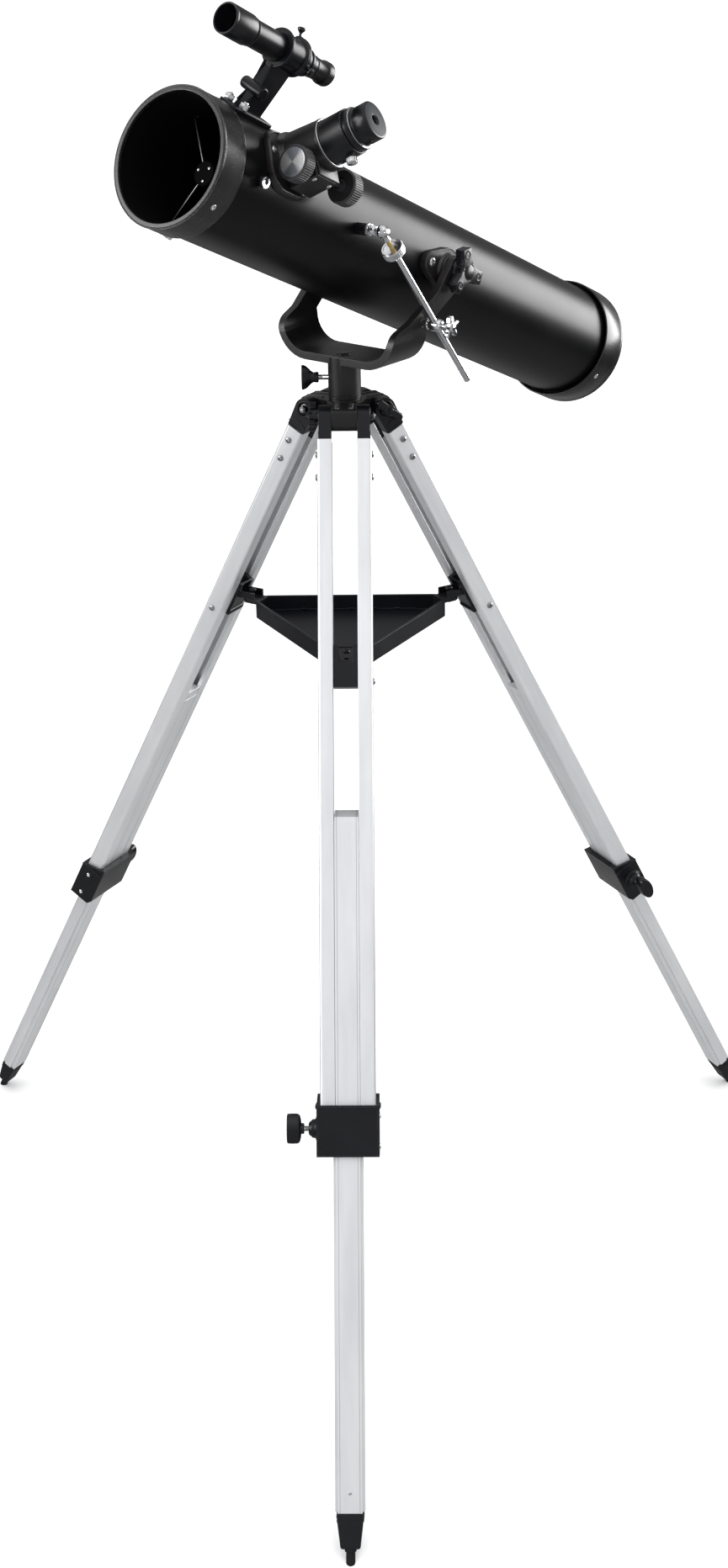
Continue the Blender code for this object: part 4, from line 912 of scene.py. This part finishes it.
# ---- fine parts: slow-motion control ------------------------------------------------------------
def slow_motion_details():
    stud_place = TUBE @ shift(z=0.1325) @ ALONG_X @ shift(z=0.0550)
    root = turned(mm((0, 11.8), (4.6, 11.8), (5.1, 11.3), (5.1, -0.6), (0, -0.6)), 40)
    stand_in("slow_motion_stud", "slow_motion_stud_root", [root], GLOSS, "telescope", stud_place)
    rings = [
        (0.0, 0.0205), (0.0030, 0.0205), (0.0040, 0.0200), (0.0046, 0.0190), (0.0046, 0.0172), (0.0038,
        0.0168), (0.0038, 0.0160), (0.0048, 0.0156), (0.0048, 0.0142), (0.0039, 0.0138), (0.0039,
        0.0131), (0.0051, 0.0128), (0.0051, 0.0118), (0.0, 0.0118)]
    stand_in(
        "slow_motion_stud", "slow_motion_stud_sleeve", [turned(rings, 48)], CHROME, "telescope",
        stud_place, "plated")

    span = 0.1199
    ball = [(0.0056 * sin(radians(d)), span + 0.0056 * cos(radians(d))) for d in range(0, 181, 12)]
    ball[0] = (0.0, span + 0.0056)
    ball[-1] = (0.0, span - 0.0056)
    neck = turned(
        mm((0, -3), (3, -4), (2.6, -6.8), (3.2, -9), (3.2, -10.4), (2.6, -11.2), (0, -11.2), at=span),
        32)
    pin = moved(rod(0.0030, -0.0066, 0.0, 0.0005, 28), shift(z=span) @ ALONG_X)
    cap = moved(
        turned(mm((0, 6.2), (2.6, 6), (3.4, 5.2), (3.6, 3.6), (0, 3.6)), 32), shift(z=span) @ ALONG_X)
    stand_in(
        "slow_motion_swivel", "slow_motion_ball", [turned(ball, 40), neck, pin, cap], CHROME,
        "adjuster_rod", LINE, "plated")
    thread = threaded(0.0020, span - 0.0358, span - 0.0108)
    stand_in(
        "slow_motion_swivel", "slow_motion_thread", [thread], BRASS, "adjuster_rod", LINE, "plated")

    cup = prism(toothed(0.0101, 0.0006, 40), span - 0.0262, span - 0.0204, 0.0)
    bowl = turned(
        mm((9.3, -19.2), (9.7, -19.6), (9.7, -26.6), (9.1, -27.2), (5.8, -29), (4.2, -30), (2.4, -30),
        (2.4, -21.4), (4.4, -21), (7.2, -20.8), (8, -20.4), (8.4, -19.4), at=span), 56)
    hole = turned(mm((0, 0), (9.4, 0), (9.4, -40), (0, -40), at=span), 40)
    stand_in(
        "slow_motion_nut", "slow_motion_cup", [cut(cup, [hole]), bowl], CHROME, "adjuster_nut", LINE,
        "plated")

    shaft = turned(
        mm((0, -30.4), (2.7, -30.4), (3, -30.8), (3, -195.9), (2.6, -196.4), (0, -196.4), at=span), 48)
    stand_in("slow_motion_rod", "slow_motion_shaft", [shaft], CHROME, "adjuster_rod", LINE, "plated")

    body = turned(
        mm((0, 7), (2.6, 7), (3.8, 6.6), (4.4, 5.8), (5.2, 5.2), (5.6, 4), (5.6, -4), (5, -5.2), (4.2,
        -5.6), (4, -7), (5, -7.6), (5, -10), (3, -10.8), (3, -18), (0, -18)), 40)
    stand_in("rod_clamp", "rod_clamp_body", [moved(body, ALONG_X)], CHROME, "rod_clamp", LINE, "plated")

    outline = []
    for k in range(60):
        swing = cos(radians(30 * k))
        radius = 0.0076 + 0.0026 * (abs(swing) ** 0.7) * (1 if swing > 0 else -1)
        outline.append((radius * cos(radians(6 * k)), radius * sin(radians(6 * k))))
    star = soften(prism(outline, -0.0028, 0.0028), 0.0008, 2, 60)
    hub = turned(
        mm((0, 4.4), (2.6, 4.2), (4, 3.4), (4.2, 2), (4.2, -5), (3.4, -6.4), (1.9, -6.8), (1.9, -11.8),
        (0, -11.8)), 32)
    stand_in(
        "clamp_screw", "clamp_star", [moved(shape, shift(x=0.0155) @ ALONG_X) for shape in (star, hub)],
        CHROME, "clamp_screw", LINE, "plated")


slow_motion_details()


# ---- fine parts: telescope ----------------------------------------------------------------------
def on_tube(heading, s, radius):
    """A frame on the tube whose Z points outward; headings run from the tube's top towards +X."""
    out = Vector((sin(radians(heading)), cos(radians(heading)), 0.0))
    return TUBE @ pointing(out * radius + Vector((0.0, 0.0, s)), out)


def ring_details():
    front = 0.3188
    back = front - 0.0270
    band = turned(
        mm((53, -0.4), (53.4, 0), (56.2, 0), (56.6, -0.3), (56.8, -1), (57.2, -1), (57.6, -0.6), (58,
        -0.8), (58.1, -1.3), (58, -1.9), (57.6, -2.2), (57.6, -3.4), (57.8, -4), at=front) + mm((57.8,
        3), (58, 2.4), (58, 0.6), (57.5, 0), (55.3, 0), at=back) + mm((55.3, -3), (53, -3), at=front),
        128)
    stand_in("front_ring", "front_ring_trim", [band], RING, "telescope", TUBE, "casting", 30)
    shapes = [
        moved(pan_screw(0.0026, 0.0010), on_tube(heading, front - 0.0125, 0.0578)) for heading in (4,
        124, 244)]
    piece("front_ring_screws", shapes, CHROME, "telescope", slot="bolt_steel")

    rear = -0.3348
    mouth = rear + 0.0353
    cup = turned(
        mm((59.2, 0), (59.7, -0.3), (59.9, -0.9), at=mouth) + mm((59.9, 6.4), (59.7, 6), (59.3, 5.6),
        (59.3, 5), (59.6, 4.6), (59.6, 2), (59.1, 0.7), (58, 0), (44, 0), (43.6, 0.4), (43.6, 1.2),
        (43.2, 1.6), (0, 1.6), (0, 4), (55.3, 4), at=rear) + mm((55.3, -12), (58.2, -11), (58.2, -0.4),
        (58.6, 0), at=mouth), 128)
    stand_in("rear_cell", "rear_cell_cup", [cup], MACHINED, "telescope", TUBE, "casting", 30)
    shapes = [
        moved(pan_screw(0.0026, 0.0009), on_tube(heading, -0.3110, 0.0597)) for heading in (1, 121,
        241)]
    backward = TUBE @ turn(pi, "X")
    for k in range(3):
        spot = turn(2 * pi * k / 3, "Z") @ shift(y=0.0300, z=-rear - 0.0024)
        shapes.append(moved(pan_screw(0.0040, 0.0022), backward @ spot))
        spot = turn(2 * pi * k / 3 + 0.5, "Z") @ shift(y=0.0300, z=-rear - 0.0018)
        shapes.append(moved(pan_screw(0.0026, 0.0018), backward @ spot))
    piece("rear_cell_screws", shapes, CHROME, "telescope", slot="bolt_steel")


def spider_details():
    shapes = []
    posts = []
    for heading in (90, 210, 330):
        place = on_tube(heading, 0.2675, 0.0550)
        posts.append(moved(rod(0.0036, -0.0004, 0.0034, 0.0004, 28), place))
        nut = prism(toothed(0.0047, 0.0005, 22), 0.0030, 0.0064, 0.0)
        bore = rod(0.0022, 0.0040, 0.0100, 0.0001)
        face = turned(mm((2.1, 6.7), (3.6, 6.8), (4.2, 6.4), (4.2, 3.4), (2.1, 3.4)), 32)
        shapes += [moved(shape, place) for shape in (cut(nut, [bore]), face)]
        posts.append(moved(rod(0.0019, 0.0, 0.0056, 0.0003, 20), place))
    piece("spider_nuts", shapes, CHROME, "telescope", slot="plated")
    piece("spider_posts", posts, GLOSS, "telescope")

    hub = turned(mm((0, 274.5), (9.6, 274.5), (10.3, 273.8), (10.3, 261), (0, 261)), 48)
    piece("secondary_hub", [hub], INSIDE, "telescope", TUBE)
    spots = [
        ((0.0066 * cos(radians(a)), 0.0066 * sin(radians(a)), 0.2744), (0, 0, 1)) for a in (40, 160,
        280)]
    screws("secondary_screws", TUBE, spots, 0.0015, 0.0013, "telescope", "plated")
    vanes = []
    for heading in (90, 210, 330):
        spin = turn(-radians(heading), "Z")
        vanes.append(
            moved(cuboid((-0.0004, 0.0098, 0.2722), (0.0004, 0.0526, 0.2728), 0.0001, 1), spin))
    piece("spider_vane_edges", vanes, STEEL, "telescope", TUBE, "bolt_steel")


TUBE_FACE = 0.0553  # just outside the shell
DRAW_BORE = 0.0166


def focuser_details():
    radius = 0.0590  # the flange's outer face, from the tube's axis
    outline = [(0.0080 + x, 0.0030 + y) for x, y in rounded_box(0.0284, 0.0254, 0.0216, 12)]
    dense = []
    for (ax, ay), (bx, by) in zip(outline, outline[1:] + outline[:1]):
        count = max(1, int(hypot(bx - ax, by - ay) / 0.0025))
        dense += [(ax + (bx - ax) * k / count, ay + (by - ay) * k / count) for k in range(count)]
    path = [(x, y, (radius**2 - y**2) ** 0.5 + 0.0003) for x, y in dense]
    bead = swept(path, 0.0011, closed=True)
    saddle = moved(turned([(0.0, 0.1), (TUBE_FACE, 0.1), (TUBE_FACE, -0.1), (0.0, -0.1)], 128), ALONG_X)
    trim = moved(turned([(0.0900, 0.1), (0.0900, -0.1), (radius, -0.1), (radius, 0.1)], 128), ALONG_X)
    outline = [(0.0080 + x, 0.0030 + y) for x, y in rounded_box(0.0295, 0.0265, 0.0225, 12)]
    bore = rod(DRAW_BORE, 0.0300, 0.1300, steps=48)
    slab = cut(prism(outline, 0.0300, 0.0600), [saddle, trim, bore])
    bore = rod(DRAW_BORE, 0.0300, 0.1300, steps=48)
    groove = cuboid((-0.0030, 0.0100, 0.0300), (0.0030, 0.0178, 0.1000), 0.0)
    tower = turned(mm((0, 94), (20.4, 94), (20.8, 93.6), (24, 50), (0, 50)), 96)
    tower = cut(tower, [bore, groove])
    shaft_bore = moved(rod(0.0030, -0.05, 0.05), shift(y=KNOB_SIDE, z=KNOB_OUT) @ ALONG_X)
    relief = cuboid((-0.0045, 0.0150, 0.0725), (0.0045, 0.0262, 0.0837), 0.0)
    cradle = cut(
        cuboid((-0.0120, 0.0170, 0.0570), (0.0150, 0.0290, 0.0850), 0.0012, 3), [shaft_bore, relief])
    rail = cuboid((-0.0075, 0.0230, 0.0560), (0.0105, 0.0274, 0.0700), 0.0010)
    stand_in(
        "focuser_body", "focuser_casting", [slab, tower, cradle, rail], CASTING, "telescope", FOCUSER,
        "casting", 28)
    foot = turned(mm((21.2, 76), (22.2, 66), (23.8, 61), (25, 59.2), (25.6, 56), (21.2, 56)), 56)
    top = turned(mm((19, 94.4), (20.6, 94.4), (21, 94), (21.2, 93), (21.1, 91.5), (19, 91.5)), 56)
    piece("focuser_trim", [bead, foot, top], RING, "telescope", FOCUSER, "casting")
    band = turned(mm((19.3, 94.7), (20.2, 94.7), (20.5, 94.4), (20.5, 93.8), (19.3, 93.8)), 64)
    piece("focuser_band", [band], CHROME, "telescope", FOCUSER, "plated")

    spots = []
    for x, y in ((0.0310, 0.0), (-0.0080, 0.0234), (-0.0170, -0.0160)):
        out = Vector((0.0, y, (radius**2 - y**2) ** 0.5))
        spots.append((Vector((x, 0.0, 0.0)) + out, out))
    screws("focuser_screws", FOCUSER, spots, 0.0030, 0.0018, "telescope", "bolt_steel")
    side = Vector((0.0, 0.0171, (radius**2 - 0.0171**2) ** 0.5))
    nut = pointing(Vector((-0.0185, 0, 0)) + side, side)
    piece(
        "focuser_tension_screw", [moved(prism(hexagon(0.0030), -0.0005, 0.0022, 0.0003), nut)], BRASS,
        "telescope", FOCUSER, "bolt_steel")
    plate_low = cuboid((-0.0135, 0.0105, 0.0832), (0.0135, 0.0283, 0.0868), 0.0008)
    piece("focuser_gear_cover", [plate_low], CASTING, "telescope", FOCUSER, "casting")
    spots = [((x, 0.0290, 0.0790), (0, 1, 0)) for x in (-0.0085, 0.0115)]
    screws("focuser_cover_screws", FOCUSER, spots, 0.0021, 0.0013, "telescope", "bolt_steel")

    knobs = (("front", ALONG_X, 0.0245, 0.0375), ("rear", ALONG_MINUS_X, 0.0285, 0.0415))
    for name, way, near, far in knobs:
        rim = prism(toothed(0.0146, 0.0008, 46), near + 0.0016, far - 0.0012, 0.0)
        core = turned(
            mm((0, -0.4), (12.4, -0.4), (13.6, -0.6), (14.1, -1.2), at=far) + mm((14.1, 1.2), (13, 0),
            (5, 0), (4.6, -3), (0, -3), at=near), 56)
        stand_in(
            "focus_knobs", f"focus_knob_{name}", [moved(shape, way) for shape in (rim, core)], KNURL,
            "focus_knobs", SHAFT)
        disc = turned(mm((0, 0), (11.6, 0), (12, -0.3), (12, -0.8), (0, -0.8), at=far), 56)
        place = SHAFT @ way
        stand_in(
            "focus_knobs", f"focus_knob_face_{name}", [disc], SILVER_FACE[name], "focus_knobs", place,
            "plated")
    shaft = moved(rod(0.0025, -0.0330, 0.0370, steps=24), ALONG_X)
    pinion = moved(prism(toothed(0.0040, 0.0008, 12), -0.0040, 0.0040), ALONG_X)
    stand_in("focus_knobs", "focus_shaft", [shaft, pinion], STEEL, "focus_knobs", SHAFT, "bolt_steel")

    collar = turned(
        mm((16.4, 117.1), (18.4, 117.1), (19, 116.5), (19.1, 115.5), (18.9, 114.5), (16.4, 114.5)), 64)
    piece("drawtube_rim", [collar], GLOSS, "drawtube", FOCUSER)

    body = turned(
        mm((3.6, 137.6), (4.4, 138.2), (14, 138.5), (15, 138.3), (15.6, 137.7), (15.8, 136.8), (15.8,
        126.2), (15.4, 125.6), (15.4, 124), (16, 123.6), (17.4, 123), (17.8, 122.4), (17.8, 117.8),
        (17.5, 117.4), (15.6, 117.2), (15.6, 96.2), (0, 96.2), (0, 134.5), (2.6, 134.5), (3.2, 136.4)),
        72)
    stand_in("eyepiece", "eyepiece_body", [body], GLOSS, "eyepiece", FOCUSER)
    face = turned(mm((4.8, 138.55), (13.8, 138.62), (14.2, 138.4), (14.2, 137.8), (4.8, 137.8)), 64)
    stand_in("eyepiece", "eyepiece_face", [face], GREY_FACE, "eyepiece", FOCUSER)
    lens = turned(mm((0, 136.2), (1.4, 136), (2.7, 135.2), (2.7, 134.4), (0, 134.4)), 32)
    stand_in("eyepiece", "eyepiece_lens", [lens], GLASS, "eyepiece", FOCUSER, "mirror_glass")
    rim = turned(mm((15.7, 123.6), (17.1, 123.3), (17.4, 122.9), (17.4, 122.5), (15.7, 122.5)), 64)
    stand_in("eyepiece", "eyepiece_band", [rim], CHROME, "eyepiece", FOCUSER, "plated")

    place = FOCUSER @ shift(y=0.0160, z=0.1100) @ ALONG_Y
    head = prism(toothed(0.0046, 0.0004, 20), 0.0054, 0.0092, 0.0)
    stem = turned(
        mm((0, 10), (2.6, 9.9), (4, 9.4), (4.3, 8.8), (4.3, 5.2), (2.8, 4.8), (2.2, 4), (1.5, 3.6),
        (1.5, 0.1), (0, 0.1)), 32)
    stand_in(
        "eyepiece_screw", "eyepiece_thumb_screw", [head, stem], CHROME, "eyepiece_screw", place,
        "plated")


FINDER_HEADING = radians(23.2)  # from the tube's top
FINDER = TUBE @ shift(z=0.2730) @ turn(-FINDER_HEADING, "Z")


def finder_details():
    line = FINDER @ shift(y=0.1142)
    barrel = turned(
        mm((11.1, 65.9), (12.1, 66), (12.5, 65.6), (12.6, 64.8), (12.6, 64), (12.4, 63.4), (12.6, 62.8),
        (12.6, 40.4), (12.4, 39.6), (11.8, 38.6), (11, 37.8), (11, -36.8), (10.4, -38.2), (9.2, -39.2),
        (8.8, -40), (8.6, -56.8), (9.2, -57.8), (9.9, -58.4), (10, -59.2), (10, -64.6), (9.7, -65.5),
        (9, -66), (5, -66), (4.6, -65.2), (0, -65.2), (0, 45), (10.4, 45.2), (10.8, 47), (11, 64)), 72)
    stand_in("finder_tube", "finder_barrel", [barrel], SATIN, "telescope", line)
    lens = turned(mm((0, 48.4), (4, 48.2), (7.5, 47.4), (10, 46.2), (10, 45.3), (0, 45.3)), 48)
    piece("finder_lens", [lens], GLASS, "telescope", line, "mirror_glass")
    bands = [
        turned(mm((11.1, 1), (11.6, 0.8), (11.7, 0), (11.6, -0.8), (11.1, -1), at=z), 56) for z in
        (0.0360, -0.0345)]
    bands.append(turned(mm((8.6, -44), (9.1, -44.2), (9.2, -44.8), (9.1, -45.4), (8.6, -45.6)), 56))
    piece("finder_bands", bands, SATIN, "telescope", line)

    low = -0.0010
    rims = [
        turned(mm((11.6, 1.2), (15.4, 1.2), (16, 0.7), (16.1, 0), (16, -0.7), (15.4, -1.2), (11.6,
        -1.2), at=z), 64) for z in (low - 0.0002, low - 0.0226)]
    rims.append(turned(mm((11.6, -2), (13.7, -2.2), (13.7, -20.4), (11.6, -20.6), at=low), 64))
    piece("finder_ring_rims", rims, PLASTIC, "telescope", line)
    pads = [
        moved(cuboid((-0.0030, 0.0120, low - 0.0240), (0.0030, 0.0166, low - 0.0204), 0.0006),
        turn(FINDER_HEADING - radians(heading), "Z")) for heading in (0, 120, 240)]
    piece("finder_ring_pads", pads, PLASTIC, "telescope", line)

    for index, heading in enumerate((0, 120)):
        angle = FINDER_HEADING - radians(heading)
        place = line @ shift(z=low - 0.0222) @ turn(angle, "Z") @ ALONG_Y
        head = turned(
            mm((0, 23.8), (2.6, 23.8), (3.2, 23.4), (3.4, 22.6), (3.2, 21.6), (2.2, 20.4), (1.3, 19.2),
            (1.1, 18.8), (1.1, 11.3), (0, 11.3)), 32)
        stand_in(
            f"finder_screw_{index + 1}", f"finder_thumb_screw_{index + 1}", [head], BLACKED,
            f"finder_screw_{index + 1}", place, "plated")

    # The foot: a plate on the tube, its edge lip, and the two fixing nuts.
    slab = cuboid((-0.0098, 0.0562, -0.0302), (0.0098, 0.0596, 0.0184), 0.0010, 3)
    ribs = [
        swept([(side * 0.0045, 0.0640, 0.0060), (side * 0.0045, 0.0790, -0.0004), (side * 0.0045,
        0.1010, 0.0006)], 0.0008, up=(1, 0, 0)) for side in (-1, 1)]
    pin = moved(
        turned(mm((0, 12.6), (4.2, 12.6), (5, 12), (5.2, 11.2), (5.2, -11.2), (5, -12), (4.2, -12.6),
        (0, -12.6)), 36), shift(y=0.0780) @ ALONG_X)
    piece("finder_foot_trim", [slab, *ribs, pin], PLASTIC, "telescope", FINDER)
    nuts = []
    for x, z in ((-0.0068, 0.0120), (0.0068, 0.0062)):
        place = shift(x=x, y=0.0596, z=z) @ ALONG_Y
        nuts.append(moved(prism(hexagon(0.0044, 10), 0.0, 0.0052, 0.0006), place))
        nuts.append(moved(turned(mm((0, 6.8), (1.6, 6.6), (2.2, 5.8), (2.2, 5), (0, 5)), 24), place))
    piece("finder_foot_nuts", nuts, CHROME, "telescope", FINDER, "plated")


def focuser_hole():
    hole = turned(mm((0, 80), (18.5, 80), (18.5, 40), (0, 40)), 48)
    return moved(hole, FOCUSER)


def tube_details():
    front, rear, wall = 0.3158, -0.3303, 0.0538
    shell = turned([(wall, front), (0.0550, front), (0.0550, rear), (wall, rear)], 192)
    stand_in(
        "main_tube", "tube_shell", [cut(moved(shell, TUBE), [focuser_hole()])], ENAMEL, "telescope",
        slot="tube_enamel", smooth=30)
    lining = turned(
        [(wall - 0.0006, front - 0.0004), (wall - 0.0001, front - 0.0004), (wall - 0.0001, rear +
        0.0040), (wall - 0.0006, rear + 0.0040)], 96)
    piece(
        "tube_lining", [cut(moved(lining, TUBE), [focuser_hole()])], INSIDE, "telescope",
        slot="tube_enamel")
    seam = cuboid((-0.0022, 0.05495, rear + 0.0330), (0.0022, 0.0552, front - 0.0240), 0.0001, 1)
    piece(
        "tube_seam", [moved(seam, turn(-radians(200), "Z"))], ENAMEL, "telescope", TUBE, "tube_enamel")


tube_details()
ring_details()
spider_details()
focuser_details()
finder_details()


# ---- stage, light and camera --------------------------------------------------------------------
def make_floor():
    mesh = bpy.data.meshes.new("floor")
    half = 80.0
    corners = [(-half, -half, 0), (half, -half, 0), (half, half, 0), (-half, half, 0)]
    mesh.from_pydata(corners, [], [(0, 1, 2, 3)])
    g = Graph("floor")
    g.preset(Base_Color=(0.93, 0.93, 0.93, 1.0), Roughness=0.9, Specular_IOR_Level=0.0)
    mesh.materials.append(g.material)
    floor = add_object("floor", mesh)
    floor.visible_glossy = False


def make_world():
    """A studio with a bright front and ceiling, and darker sides and back."""
    world = bpy.data.worlds.new("studio")
    bpy.context.scene.world = world
    g = Graph("studio", world)
    toward = g.split(g.add("ShaderNodeTexCoord").outputs["Generated"])

    def slope(axis, low, high, value):
        return g.remap(toward[axis], low, high, 0.0, value, "SMOOTHSTEP")

    front = g.math("MULTIPLY", slope("Y", 0.15, -0.55, 0.52), slope("Z", -0.80, -0.40, 1.0))
    ceiling = slope("Z", 0.30, 0.95, 0.95)
    back = slope("Y", 0.45, 0.95, 0.20)
    below = slope("Z", -0.46, -0.66, 0.32)
    total = g.math("ADD", g.math("ADD", front, ceiling), g.math("ADD", back, below))
    background = g.nodes["Background"]
    g.join(g.math("ADD", total, 0.03), background.inputs["Strength"])
    background.inputs["Color"].default_value = (0.985, 0.99, 1.0, 1.0)


def softbox(name, place, target, width, height, radiance):
    """An area light that shows only in glossy reflections."""
    data = bpy.data.lights.new(name, "AREA")
    data.shape = "RECTANGLE"
    data.size = width
    data.size_y = height
    data.energy = radiance * pi * width * height
    light = add_object(name, data)
    back = (Vector(place) - Vector(target)).normalized()
    light.matrix_world = frame_of(place, UP.cross(back).normalized(), back)
    light.visible_camera = False
    light.visible_diffuse = False
    return light


SUNS = ((-35, 30, 0.95), (60, 35, 0.90), (180, 30, 0.70))  # heading and tilt in degrees, strength


def make_lights():
    for heading, tilt, power in SUNS:
        sun = add_object("sun", bpy.data.lights.new("sun", "SUN"))
        sun.data.energy = power
        sun.data.angle = radians(70)
        level, lean = radians(heading), radians(tilt)
        aim = Vector((sin(level) * sin(lean), -cos(level) * sin(lean), cos(lean)))
        sun.matrix_world = pointing((0, 0, 3), aim)
        sun.visible_glossy = False
    middle = TUBE.translation
    # The long soft highlight along the tube, and the one that models the front ring.
    right = Vector((0.90, 0.42, 0.08)).normalized()
    softbox("band_light", middle + right * 3.2, middle, 2.7, 1.6, 12.0)
    left = Vector((-0.95, -0.27, 0.16)).normalized()
    softbox("left_light", middle + left * 3.0, middle, 2.0, 1.8, 7.0)


CAMERA_PLACE = Vector((0.0577, -1.8729, 1.4030))  # from the foot of the azimuth axis
CAMERA_PITCH, CAMERA_ROLL, CAMERA_YAW = radians(25.252), radians(-1.014), radians(-1.422)


def make_camera():
    data = bpy.data.cameras.new("camera")
    data.sensor_fit = "VERTICAL"
    data.sensor_height = 36.0
    data.lens = 47.75
    data.clip_start = 0.01
    data.clip_end = 400.0
    camera = add_object("camera", data)
    pitch, roll, yaw = CAMERA_PITCH, CAMERA_ROLL, CAMERA_YAW
    ahead = Vector((sin(yaw) * cos(pitch), cos(yaw) * cos(pitch), -sin(pitch)))
    right = Vector((cos(yaw), -sin(yaw), 0.0))
    up = right.cross(ahead)
    across = cos(roll) * right + sin(roll) * up
    camera.matrix_world = frame_of(AXIS + CAMERA_PLACE, across, -ahead)
    bpy.context.scene.camera = camera


make_floor()
make_world()
make_lights()
make_camera()
bpy.context.scene.view_settings.view_transform = "Standard"
